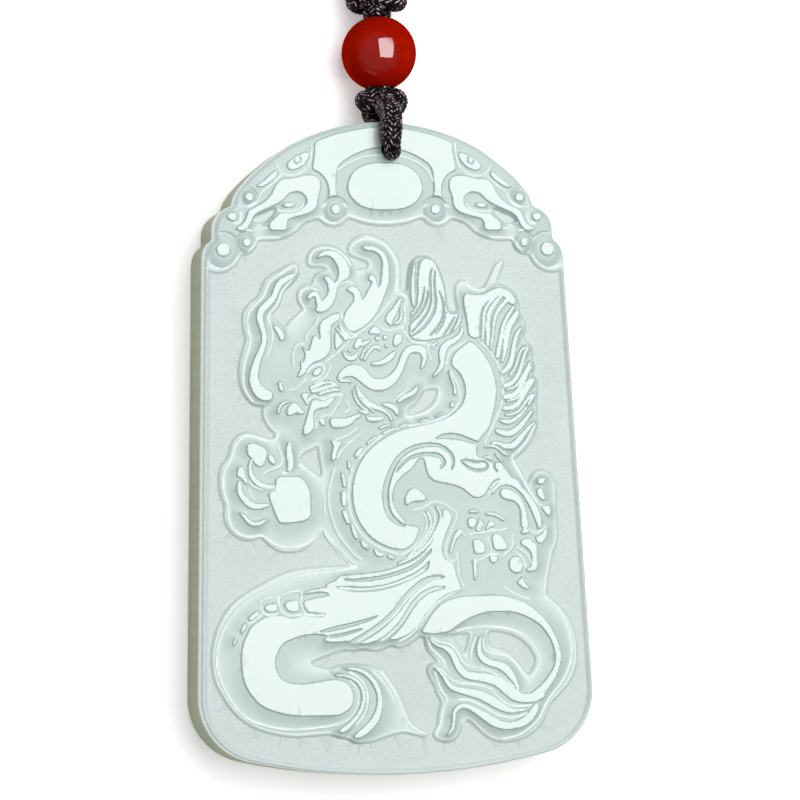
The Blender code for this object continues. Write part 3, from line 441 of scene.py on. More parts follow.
# %% The broad tops, by their edge
AREAS = {
    "horn": [
        (-4.7, 14.1), (-4.55, 14.7), (-4.3, 15.2), (-3.9, 15.6), (-3.6, 16), (-3.5, 16.4), (-3.6, 16.8),
        (-4, 17.05), (-4.25, 17.15), (-4.1, 17.45), (-3.7, 17.55), (-3.3, 17.4), (-2.95, 17),
        (-2.85, 16.6), (-2.8, 16.2), (-2.6, 16.2), (-2.3, 16.7), (-1.9, 17.4), (-1.6, 17.9), (-1.65, 18.1),
        (-2, 18.2), (-1.9, 18.55), (-1.6, 18.7), (-1.3, 18.4), (-1.15, 17.9), (-1.1, 17.4), (-0.85, 17.5),
        (-0.7, 18), (-0.6, 18.8), (-0.5, 19.5), (-0.5, 20.2), (-0.8, 20.8), (-1.4, 21.15), (-2.3, 21.25),
        (-2.55, 21.5), (-2.3, 21.65), (-1.6, 21.6), (-0.9, 21.4), (-0.3, 20.9), (0, 20.2), (0.1, 19.4),
        (0.15, 18.6), (0, 17.8), (-0.3, 17), (-0.7, 16), (-1.2, 15), (-1.9, 14.1), (-2.8, 13.4),
        (-3.7, 13), (-4.1, 13.1), (-4.5, 13.6)],
    "flame": [
        (-5.1, 14.85), (-5.6, 14.8), (-6.3, 14.45), (-6.9, 14.1), (-7.15, 13.6), (-7.2, 13), (-7.1, 12.6),
        (-7.15, 12.3), (-7.4, 12.25), (-7.5, 12.6), (-7.8, 12.6), (-7.95, 12.2), (-8.1, 11.7),
        (-8.25, 11.2), (-8.5, 11.05), (-8.75, 11.3), (-9, 11.5), (-8.85, 11.2), (-8.7, 10.9),
        (-8.75, 10.4), (-8.9, 9.9), (-9.1, 9.95), (-9.2, 10.1), (-9.15, 9.5), (-9.3, 9), (-9.6, 8.5),
        (-9.3, 8.6), (-8.85, 8.9), (-8.5, 9.5), (-8, 9.95), (-7.3, 10.15), (-6.7, 10.45), (-6.3, 10.9),
        (-6.1, 11.5), (-6.1, 12.3), (-6.1, 13.1), (-6, 13.7), (-5.7, 13.9), (-5.2, 14.2), (-5.05, 14.5)],
    "brow_tri": [(-5.65, 13), (-5.2, 12.5), (-4.75, 11.95), (-5.2, 11.6), (-5.6, 11.15), (-5.65, 12)],
    "knob": [
        (-2.15, 12.85), (-1.95, 13.2), (-1.6, 13.5), (-1.3, 13.45), (-1, 13.1), (-1, 12.75), (-1.2, 12.7),
        (-1.5, 12.85), (-1.8, 12.75)],
    "temple": [
        (0.5, 12.6), (0.8, 12.75), (1.15, 12.7), (1.25, 12.3), (1.15, 11.9), (0.85, 11.7), (0.6, 11.5),
        (0.4, 11.6), (0.35, 12), (0.5, 12.3)],
    "eye": [(-8.05, 8.8), (-7.9, 9.1), (-7.5, 9.35), (-7.15, 9.4), (-7.1, 9.1), (-7.4, 8.75), (-7.8, 8.6)],
    "lip_fang": [
        (-9.35, 6.8), (-8.9, 6.1), (-8.7, 5.7), (-8.55, 5.85), (-8.7, 6.2), (-8.6, 6.6), (-8.3, 6.8),
        (-8.6, 6.9)],
    "nostril": [
        (-10.75, 4.85), (-10.75, 5.2), (-10.5, 5.65), (-10.1, 5.95), (-9.75, 5.9), (-9.4, 5.4), (-9, 4.95),
        (-9.15, 4.8), (-9.5, 4.9), (-9.9, 4.95), (-10.3, 4.75), (-10.6, 4.7)],
    "jaw": [
        (-9.15, 2.75), (-9.1, 3.4), (-8.85, 4.1), (-8.6, 4.9), (-8.35, 5.6), (-8.15, 6.1), (-7.9, 6.25),
        (-7.3, 6.05), (-6.8, 6.1), (-6.4, 6.4), (-5.85, 6.45), (-5.9, 6.2), (-6.3, 5.8), (-6.7, 5.45),
        (-7.3, 5.4), (-7.9, 5.25), (-8.1, 4.9), (-8.15, 4.3), (-8.1, 3.6), (-8.15, 3.25), (-8.5, 2.95),
        (-8.9, 2.75)],
    "tooth": [
        (-7.35, 4.35), (-7.2, 4.4), (-7, 4.3), (-6.9, 4), (-6.95, 3.7), (-7.15, 3.65), (-7.35, 3.85),
        (-7.5, 4.15)],
    "tongue": [
        (-6.3, 4.3), (-6.4, 4), (-6.25, 3.6), (-5.9, 3.4), (-5.3, 3.4), (-4.7, 3.55), (-4.2, 3.8),
        (-3.8, 4.25), (-3.4, 4.4), (-3.2, 4.6), (-3.35, 4.75), (-3.7, 4.7), (-4.2, 4.45), (-4.9, 4.3),
        (-5.6, 4.3)],
    "teeth": [
        (-2.7, 4.5), (-2.6, 4.2), (-2.3, 4), (-1.7, 3.98), (-1.2, 4.05), (-0.85, 4.3), (-0.75, 4.5),
        (-1.3, 4.4), (-1.8, 4.45), (-2.2, 4.4)],
    "lip": [
        (-3, 6.9), (-2.7, 6.3), (-2.3, 6), (-1.7, 5.7), (-1, 5.35), (-0.5, 5), (-0.15, 4.6), (0, 4.2),
        (-0.05, 4), (-0.2, 4.05), (-0.3, 4.4), (-0.6, 4.75), (-1.1, 5), (-1.8, 5.2), (-2.4, 5.5),
        (-2.9, 6), (-3.2, 6.5)],
    "lip_hook": [
        (-1.1, 5.75), (-0.7, 5.78), (-0.1, 5.75), (0.35, 5.55), (0.65, 5.2), (0.65, 4.9), (0.55, 4.5),
        (0.4, 4.7), (0.2, 5), (-0.05, 5.2), (-0.4, 5.35), (-0.8, 5.55)],
    "chin": [
        (-6.4, 2.15), (-5.9, 2.1), (-5.2, 2), (-5.5, 1.6), (-5.8, 1.1), (-5.9, 0.6), (-6, 0.2),
        (-6.3, 0.15), (-6.3, 0.8), (-6.1, 1.4), (-6.2, 1.9)],
    "mane": [
        (2.15, 12.3), (2.1, 13.2), (2.3, 14.4), (2.3, 15), (2.9, 15.4), (3.05, 16.2), (2.95, 17.4),
        (3, 18.6), (3.3, 19.7), (3.7, 20.3), (4.3, 20.3), (4.9, 19.9), (5.15, 19.2), (5.5, 18.3),
        (5.75, 17.4), (5.85, 16.4), (5.85, 15.4), (6.2, 14.7), (6.9, 14.7), (7.4, 14.75), (7.5, 14.2),
        (7.2, 13.6), (6.8, 13.1), (6, 12.7), (5.4, 12.4), (4.3, 12.15), (3.2, 12.1)],
    "mane2": [
        (2.55, 15.3), (2.35, 16.2), (2.35, 17.5), (2.5, 18.8), (2.75, 19.9), (2.9, 19.8), (2.75, 18.8),
        (2.65, 17.5), (2.7, 16.2), (2.75, 15.4)],
    "membrane": [
        (7.9, 16.8), (8.8, 16.6), (9.8, 16.6), (10.6, 17.05), (11.4, 17.35), (12.3, 17.15), (13, 16.55),
        (13.3, 15.8), (12.7, 15.6), (11.8, 16.7), (10.8, 16.4), (9.9, 15.7), (9.5, 15), (9.35, 14),
        (9.3, 13), (9.2, 12.3), (8.7, 12.3), (8.2, 12.6), (8.15, 13.6), (8, 14.8), (7.8, 15.8)],
    "body": [
        (8.3, 11.95), (8.8, 11.6), (9.3, 11.1), (9.8, 10.4), (10.3, 9.6), (10.6, 8.8), (10.8, 7.9),
        (10.85, 7), (10.8, 6.2), (10.6, 5.2), (10.3, 4.2), (10, 3.3), (9.5, 2.6), (9.05, 2.25), (8.7, 1.6),
        (8.55, 1), (8.6, 0.3), (9.3, 0.1), (9.9, -0.3), (10.4, -0.35), (11.1, -0.35), (11.5, -0.9),
        (11.9, -1.5), (12.2, -1.9), (11.6, -1.95), (11, -1.9), (10.4, -2), (9.9, -2.5), (9.6, -3.1),
        (9.2, -3.6), (8.6, -3.8), (8, -3.65), (7.5, -3.15), (7, -2.8), (6.3, -2.5), (5.4, -2.3),
        (4.6, -2.15), (4, -1.95), (3.6, -1.5), (3.4, -0.9), (3.3, -0.3), (3.2, 0.2), (2.8, 0.3),
        (2.5, 0.1), (2.2, -0.3), (1.8, -0.85), (1.1, -1.25), (0.5, -1.8), (0.05, -2.4), (-0.2, -3),
        (-0.3, -3.8), (-0.15, -4.5), (0.3, -5.3), (0.9, -6), (1.1, -6.4), (1.5, -6.6), (2, -6.55),
        (2.35, -6.8), (2.4, -7), (2.15, -7.5), (1.95, -8), (1.6, -8.4), (1.1, -8.75), (0.5, -8.85),
        (-0.2, -8.75), (-1, -8.5), (-1.9, -8.05), (-2.6, -7.5), (-3.2, -6.8), (-3.7, -6), (-4.05, -5.1),
        (-4.25, -4.2), (-4.3, -3.3), (-4.2, -2.3), (-3.95, -1.3), (-3.6, -0.5), (-3.1, 0.3), (-2.5, 1),
        (-1.7, 1.7), (-0.8, 2.3), (0.2, 2.8), (1.3, 3.15), (2.5, 3.4), (3.8, 3.65), (5, 3.95), (5.9, 4.3),
        (6.7, 4.85), (7.3, 5.5), (7.6, 6.2), (7.75, 6.9), (7.65, 7.7), (7.35, 8.5), (6.9, 9.1), (6.5, 9.4),
        (6.35, 9.7), (6.4, 10.2), (6.7, 10.7), (7.3, 11.2), (7.8, 11.6)],
    "lower": [
        (5, -4.95), (5.4, -5), (5.85, -5.6), (5.8, -6), (5.4, -6.8), (5, -7.7), (4.7, -8.6), (4.7, -9.3),
        (4.9, -9.9), (5.4, -10.2), (5.95, -10.5), (6, -11.2), (6.2, -12), (6.6, -12.8), (6.45, -13.05),
        (5.6, -13.25), (4.8, -13.55), (4.1, -14.05), (3.4, -14.75), (2.7, -15.5), (2.2, -16.3),
        (1.6, -16.9), (0.9, -17.4), (0, -17.75), (-0.5, -17.85), (-2, -17.8), (-3.5, -18.25),
        (-4.2, -18.1), (-5.2, -17.85), (-6.5, -17.95), (-7.6, -17.85), (-7.6, -17.6), (-7.1, -17.3),
        (-8.3, -17.05), (-9.3, -17.1), (-10.3, -17.3), (-11.2, -17.6), (-12, -18), (-12.4, -18.7),
        (-12.65, -19.2), (-12.75, -20), (-12.6, -20.7), (-12.3, -21.3), (-11.8, -21.75), (-11, -22),
        (-10, -22.1), (-9, -22), (-8, -21.85), (-7, -21.7), (-6.2, -21.75), (-5.6, -22), (-5.1, -22.5),
        (-4.85, -23.2), (-4.9, -24), (-5.3, -24.6), (-6, -25.05), (-6.6, -25.2), (-8, -25.2),
        (-10, -25.15), (-11.3, -25.05), (-12.3, -24.8), (-13.4, -24.45), (-14.3, -23.95), (-15, -23.2),
        (-15.6, -22.3), (-15.95, -21.3), (-16.05, -20), (-16.05, -18.9), (-15.8, -17.8), (-15.4, -17),
        (-14.9, -16.1), (-14.2, -15.75), (-13.5, -15.3), (-12.4, -15.2), (-11.8, -15.2), (-11.2, -15.5),
        (-10.5, -15.55), (-9.7, -15.2), (-9, -15.4), (-8, -15.5), (-7.4, -15.3), (-7.4, -15.05),
        (-8.3, -15), (-9.2, -14.9), (-9.6, -14.4), (-9.6, -13.9), (-9.2, -13.75), (-8.2, -13.55),
        (-7.2, -13.4), (-6.9, -13.25), (-7.3, -12.95), (-8.2, -12.9), (-9.2, -13.05), (-9.75, -13.1),
        (-8.8, -12.75), (-7.7, -12.6), (-7.1, -12.5), (-7.3, -12.25), (-6.6, -12), (-6.2, -11.8),
        (-6, -11.45), (-4.5, -11.35), (-3, -11.25), (-1.7, -11.1), (-0.5, -10.85), (0.6, -10.45),
        (1.7, -10.1), (2.6, -9.5), (3.3, -8.8), (3.9, -8), (4.3, -7.2), (4.75, -6.3), (4.95, -5.6)],
    "tail": [
        (4.1, -14.75), (4.9, -14.2), (5.7, -13.95), (6.7, -13.75), (8.5, -13.7), (10.5, -13.7),
        (11.5, -13.9), (12.5, -14.2), (13.5, -14.7), (14.4, -15.4), (15.2, -16.2), (15.9, -17.2),
        (16.4, -18.3), (16.7, -19.3), (16.75, -20.2), (16.5, -21.2), (16.1, -22.1), (15.4, -23),
        (14.8, -23.8), (14.2, -24.4), (13.4, -24.5), (12.7, -24.2), (12.5, -23.8), (13.2, -23.8),
        (13.9, -23.4), (14.7, -22.8), (15.4, -22), (15.9, -21.3), (16.2, -20.5), (16.2, -19.7),
        (16, -18.7), (15.5, -17.7), (14.8, -16.8), (14, -16.2), (13, -15.7), (12, -15.35), (10.5, -15.25),
        (9.2, -15.3), (8, -15.6), (7, -16), (6, -16.6), (5.1, -17.25), (3.4, -17.35), (2.3, -17.2),
        (2.8, -16.5), (3.3, -15.7)],
    "scale1": [
        (-11.6, -14), (-11, -13.8), (-10.2, -13.7), (-10.2, -14.2), (-10.05, -14.8), (-10.8, -14.85),
        (-11.4, -14.6)],
    "scale2": [
        (-13.6, -14.3), (-13.2, -14.1), (-12.4, -14), (-12.3, -14.4), (-12.4, -14.75), (-13, -14.8),
        (-13.4, -14.7)],
    "pearl": [
        (-12.1, -1.8), (-11.9, -1.5), (-11.3, -1.4), (-10.7, -1.5), (-10.1, -1.45), (-9.6, -1.5),
        (-9.2, -1.9), (-8.9, -2.4), (-8.7, -3), (-8.6, -3.8), (-8.65, -4.6), (-8.7, -5.2), (-8.8, -5.5),
        (-9.3, -5.8), (-10.2, -5.95), (-11.2, -6), (-11.8, -6), (-12.1, -5.4), (-12.4, -4.6),
        (-12.7, -3.7), (-12.85, -3.1), (-12.5, -2.9), (-12.15, -2.75), (-12.1, -2.3)],
    "talon1": [
        (-14.9, 1.6), (-14.7, 1.9), (-14.2, 1.9), (-13.7, 1.75), (-13.2, 1.5), (-12.9, 1.1), (-12.95, 0.8),
        (-13.1, 0.4), (-13.2, -0.1), (-13.5, -0.3), (-13.9, -0.3), (-14.2, 0), (-14.4, 0.4), (-14.75, 0.7),
        (-14.9, 1.1)],
    "talon1b": [
        (-12.8, 0.8), (-12.4, 0.7), (-12.15, 0.3), (-12.1, -0.1), (-12.4, -0.15), (-12.7, 0.2),
        (-12.8, 0.5)],
    "talon3": [
        (-15.9, -0.5), (-15.5, -0.3), (-15.3, -0.6), (-15.2, -1.2), (-14.95, -1.8), (-15, -2.1),
        (-15.3, -1.9), (-15.5, -1.5), (-15.8, -1.35), (-16, -1.3)],
    "arm": [
        (10.95, -3.4), (11.1, -3.05), (11.6, -3), (12.2, -3.2), (12.8, -3.6), (13.2, -4.2), (13.5, -4.9),
        (13.65, -5.7), (13.75, -6.6), (13.7, -7), (13.1, -6.95), (13.05, -6.2), (13.1, -5.4),
        (12.95, -4.8), (12.6, -4.3), (12.1, -4.1), (11.5, -4), (11.1, -3.8)],
    "fist1": [
        (7.5, -6.2), (7.65, -5.9), (8.1, -5.85), (8.35, -6.1), (8.3, -6.5), (8.05, -6.8), (7.8, -6.85),
        (7.55, -6.6)],
    "fist2": [
        (7.95, -8.15), (8.3, -8.05), (8.7, -8.1), (9.1, -8.5), (9.25, -8.9), (9.05, -9.35), (8.7, -9.4),
        (8.2, -9.45), (8.05, -8.9)],
    "fist3": [
        (10, -7.7), (10.3, -7.5), (10.7, -7.55), (11.1, -8), (11.4, -8.6), (11.55, -9), (11.2, -9.1),
        (10.6, -9.15), (10.15, -9), (10.05, -8.4)],
    "fist4": [(9.65, -9.8), (10, -9.75), (10.5, -9.8), (10.4, -10.2), (10, -10.45), (9.75, -10.2)],
    "fist5": [
        (11.7, -10.3), (12, -9.9), (12.5, -9.85), (12.95, -10.1), (13.05, -10.7), (12.95, -11.3),
        (12.5, -11.45), (12, -11.35), (11.7, -10.9)],
    "fist6": [
        (13, -8.4), (13.1, -8.15), (13.7, -8), (14, -8.3), (14.4, -8.5), (14.6, -8.8), (14.6, -9.8),
        (14.6, -10.7), (14.4, -11.2), (14.1, -11.35), (13.4, -11.3), (13.6, -11), (13.95, -10.9),
        (14.1, -10.4), (14.1, -9.7), (13.8, -9.1), (13.4, -8.8), (13.05, -8.65)],
    "fist7": [
        (9.6, -6.5), (9.75, -6.25), (10.1, -6.25), (10.35, -6.6), (10.1, -6.75), (9.7, -6.8), (9.3, -7.1),
        (9.4, -6.9)],
    "fist8": [
        (12.95, -11.8), (13.05, -12.2), (13.3, -12.6), (13.65, -13.1), (13.2, -13.05), (12.7, -12.7),
        (12.4, -12.4), (12.8, -12.2)],
    "claw_r": [
        (14.5, -7.85), (15, -7.8), (15.4, -7.4), (15.75, -6.9), (15.7, -7.6), (15.5, -8.1), (15.1, -8.5),
        (14.9, -8.55), (14.6, -8.2)],
    "claw_r2": [(13, -7.5), (13.2, -7.1), (13.6, -7.05), (13.85, -7.4), (13.5, -7.5)],
    "spur1": [(14.9, -2.1), (15.3, -1.95), (15.7, -1.95), (15.65, -2.3), (15.3, -2.6), (14.95, -2.5)],
    "spur2": [
        (14.85, -3.1), (15.3, -2.95), (15.45, -3.4), (15.65, -4.2), (15.4, -4.15), (15, -3.9),
        (14.85, -3.5)],
    "spur3": [(15.2, -4.9), (16, -4.7), (16.2, -5.1), (16, -5.9), (15.6, -5.4)],
    "inner": [
        (1.2, -3.5), (1.5, -3), (2, -2.75), (2.4, -2.9), (2.9, -3.3), (3.2, -3.7), (3.2, -4), (2.4, -4.05),
        (1.7, -4.1), (1.3, -4.4), (1.1, -4.4), (1.1, -3.9)],
}

# %% The band across the top, left half
BAND = {
    "wing": [
        (0.8, 33.6), (-1, 33.57), (-2, 33.47), (-3.5, 33.2), (-5, 32.85), (-6, 32.5), (-7.05, 32.05),
        (-7.1, 31.6), (-7.15, 30.8), (-7.3, 30), (-7.4, 29.35), (-7, 29.2), (-6.5, 28.9), (-6.1, 28.4),
        (-5.85, 27.8), (-5.75, 27.2), (-5.8, 26.6), (-5.9, 26.1), (-5.05, 26.1), (-5, 26.7), (-5.15, 27.1),
        (-5.1, 28.4), (-5, 29.3), (-4.7, 29.85), (-4, 30.4), (-3, 30.95), (-2, 31.3), (-1, 31.6),
        (0.8, 31.75)],
    "oval": [
        (0.8, 29.98), (-1.6, 29.95), (-2.8, 29.45), (-3.5, 28.7), (-3.87, 27.7), (-3.75, 26.9),
        (-3.2, 26.15), (-2.3, 25.55), (-1.1, 25.3), (0.8, 25.25)],
    "beast": [
        (-15.4, 23.35), (-14.9, 23.15), (-14.4, 23.3), (-14, 23.8), (-13.8, 24.3), (-13.5, 24.8),
        (-13.1, 25.05), (-12.3, 25.4), (-11.5, 25.75), (-10.9, 26.05), (-10.4, 26.4), (-10, 26.9),
        (-9.5, 27.1), (-8.9, 27.15), (-8.4, 26.9), (-8.1, 26.5), (-8.05, 26), (-8.3, 25.6), (-8.9, 25.15),
        (-9.6, 24.95), (-10.3, 24.9), (-10.9, 24.9), (-11.05, 24.7), (-11.4, 24.4), (-11.9, 24),
        (-12, 23.6), (-11.9, 23.3), (-11.2, 23.25), (-10.4, 23.25), (-10.2, 23.5), (-10.25, 24),
        (-10, 24.4), (-9.3, 24.6), (-8.4, 24.8), (-7.6, 25.1), (-7.1, 25.6), (-7, 26.3), (-6.95, 26.8),
        (-6.7, 27.3), (-6.65, 28), (-6.9, 28.5), (-7.5, 28.75), (-8.2, 28.75), (-8.9, 28.5), (-9.6, 28.4),
        (-10.4, 28.4), (-10.9, 28.1), (-11.3, 27.6), (-11.6, 26.9), (-12, 26.4), (-12.6, 25.9),
        (-13.4, 25.5), (-14, 25.2), (-14.2, 24.8), (-14.35, 24.3), (-14.7, 23.8), (-15.2, 23.5)],
    "beast_eye": [
        (-10.6, 25.75), (-10.2, 25.95), (-9.7, 25.95), (-9.3, 25.8), (-9.6, 25.6), (-10.2, 25.55)],
    "lens": [
        (-7.75, 31.1), (-8.5, 30.9), (-9.3, 30.5), (-9.9, 30), (-10, 29.6), (-9.7, 29.3), (-9.2, 29.35),
        (-8.6, 29.6), (-8, 30.2), (-7.75, 30.7)],
    "strip": [
        (-11.1, 29.2), (-11.5, 29), (-12.2, 28.3), (-12.8, 27.9), (-13.2, 27.6), (-12.6, 27.6),
        (-12, 27.95), (-11.4, 28.4), (-11, 28.8)],
    "blob": [(-16.3, 24.6), (-16, 24.95), (-15.4, 24.95), (-15.25, 24.6), (-15.6, 24.15), (-16, 24.3)],
}
BALLS = [      # x, y, foot radius, flat radius
    (-16.75, 21.3, 1.9, 0.65), (-14.35, 22, 1.15, 0.38), (-5.15, 25.33, 1.4, 0.45),
    (-13.95, 26.55, 0.95, 0.38)]

# %% Grooves cut into the tops
LENS_CURL = [
    (-8.76, 30.64, 0.07), (-8.57, 30.33, 0.07), (-8.75, 30.02, 0.07), (-9.1, 29.92, 0.07),
    (-9.35, 30.09, 0.07), (-9.23, 30.3, 0.07)]
GROOVES = {
    "spiral1": [
        (1, -6.5, 0.1), (0.3, -6.3, 0.25), (-0.4, -5.7, 0.3), (-0.8, -4.9, 0.33), (-0.95, -4, 0.35),
        (-0.95, -3.2, 0.35), (-0.75, -2.2, 0.33), (-0.35, -1.2, 0.3), (0.1, -0.3, 0.28), (0.75, 0.5, 0.27),
        (1.6, 1.1, 0.25), (2.6, 1.45, 0.25), (3.8, 1.6, 0.22), (4.8, 1.5, 0.2), (5.6, 1, 0.2),
        (6.1, 0.4, 0.18), (6.2, -0.3, 0.16), (6, -0.95, 0.1)],
    "spiral2": [
        (0.3, -1.1, 0.08), (0.7, -0.5, 0.15), (1.3, 0.05, 0.17), (2.1, 0.45, 0.18), (3, 0.6, 0.2),
        (3.9, 0.6, 0.22), (4.7, 0.5, 0.22), (5.15, 0.05, 0.22), (5.2, -0.4, 0.2), (4.85, -0.75, 0.15)],
    "browline": [
        (4.5, 2.2, 0.12), (5.2, 2.4, 0.25), (6.2, 2.4, 0.35), (7.2, 2.2, 0.3), (8, 1.9, 0.22),
        (8.8, 1.65, 0.2)],
    "leafring": [
        (6.95, -0.1, 0.08), (7.4, 0, 0.1), (8, -0.15, 0.15), (8.6, -0.25, 0.15), (9.2, -0.15, 0.12),
        (9.7, -0.4, 0.12), (9.75, -0.85, 0.12), (9.2, -1.1, 0.17), (8.4, -1.1, 0.17), (7.7, -0.8, 0.15),
        (7.2, -0.4, 0.12), (6.95, -0.1, 0.08)],
    "hiparc": [
        (11, -0.1, 0.08), (10.6, -0.15, 0.12), (10.35, -0.55, 0.14), (10.5, -1, 0.13), (10.75, -1.25, 0.1)],
    "sheafA": [
        (-5.4, -11.75, 0.1), (-4.5, -11.85, 0.15), (-3.3, -11.85, 0.2), (-2, -11.7, 0.2),
        (-0.7, -11.45, 0.2), (0.5, -11.1, 0.2), (1.6, -10.7, 0.2), (2.6, -10, 0.18), (3.2, -9.4, 0.16),
        (3.6, -9, 0.12)],
    "sheafB": [
        (-6.2, -12.5, 0.1), (-5.2, -12.65, 0.25), (-4, -12.8, 0.3), (-2.8, -12.8, 0.28),
        (-1.5, -12.65, 0.25), (-0.3, -12.35, 0.25), (0.9, -11.9, 0.25), (2, -11.4, 0.25), (3, -10.8, 0.28),
        (3.3, -10.2, 0.12)],
    "legA": [
        (4.8, -11.7, 0.12), (3.9, -11.75, 0.25), (3, -12, 0.35), (2, -12.65, 0.35), (1, -13.5, 0.35),
        (0.3, -14.4, 0.35), (-0.6, -15.4, 0.35), (-1.6, -16.3, 0.38), (-2.8, -17.1, 0.38),
        (-4, -17.75, 0.38), (-5, -18.2, 0.3)],
    "legB": [
        (4.8, -12.75, 0.15), (3.8, -12.9, 0.25), (2.7, -13.3, 0.28), (1.8, -14.1, 0.28), (1.1, -15, 0.28),
        (0.5, -16, 0.28), (-0.3, -16.9, 0.3), (-1.3, -17.7, 0.3), (-2.5, -18.3, 0.25)],
    "gashA": [(-3.8, -16.75, 0.1), (-4.8, -17, 0.15), (-6, -17.3, 0.17), (-7, -17.4, 0.17)],
    "gashB": [
        (-2.2, -15.5, 0.08), (-3.2, -15.85, 0.17), (-4.5, -16.2, 0.2), (-6, -16.5, 0.22),
        (-7.2, -16.75, 0.2), (-8, -16.9, 0.1)],
    "maneA": [(3.3, 20, 0.1), (3, 18.5, 0.12), (3, 17, 0.12), (2.8, 15.6, 0.12), (2.4, 15, 0.12)],
    "maneC": [
        (3.7, 17.4, 0.08), (3.6, 16.5, 0.12), (3.3, 15.6, 0.13), (2.8, 14.9, 0.12), (2.2, 14.2, 0.12)],
    "maneD": [(4.1, 17.1, 0.08), (4, 16.3, 0.12), (3.7, 15.5, 0.14), (3.1, 14.6, 0.14), (2.2, 13.8, 0.1)],
    "maneE": [
        (4.6, 19.4, 0.08), (4.3, 18.5, 0.12), (4.35, 17, 0.12), (4.4, 16, 0.12), (4, 14.9, 0.13),
        (3.3, 14, 0.13), (2.3, 12.9, 0.1)],
    "maneF": [
        (4.9, 19.1, 0.08), (4.75, 18, 0.12), (4.8, 17, 0.12), (4.9, 16, 0.14), (4.7, 15, 0.16),
        (4.1, 14, 0.16), (3.2, 13, 0.13), (2.2, 12.5, 0.08)],
    "maneG": [
        (5.3, 17, 0.08), (5.6, 16, 0.12), (5.7, 15, 0.12), (5.4, 14, 0.12), (4.8, 13.2, 0.12),
        (4.2, 12.6, 0.1)],
    "maneH": [(6.8, 14.4, 0.08), (6.4, 13.8, 0.12), (5.9, 13, 0.12), (5.5, 12.6, 0.1)],
    "maneI": [(7.2, 14.6, 0.08), (7, 14, 0.12), (6.5, 13.2, 0.12), (6.3, 12.9, 0.1)],
    "maneJ": [(5.9, 14.9, 0.06), (5.7, 14, 0.08), (5.2, 13.2, 0.1), (4.7, 12.7, 0.08)],
}

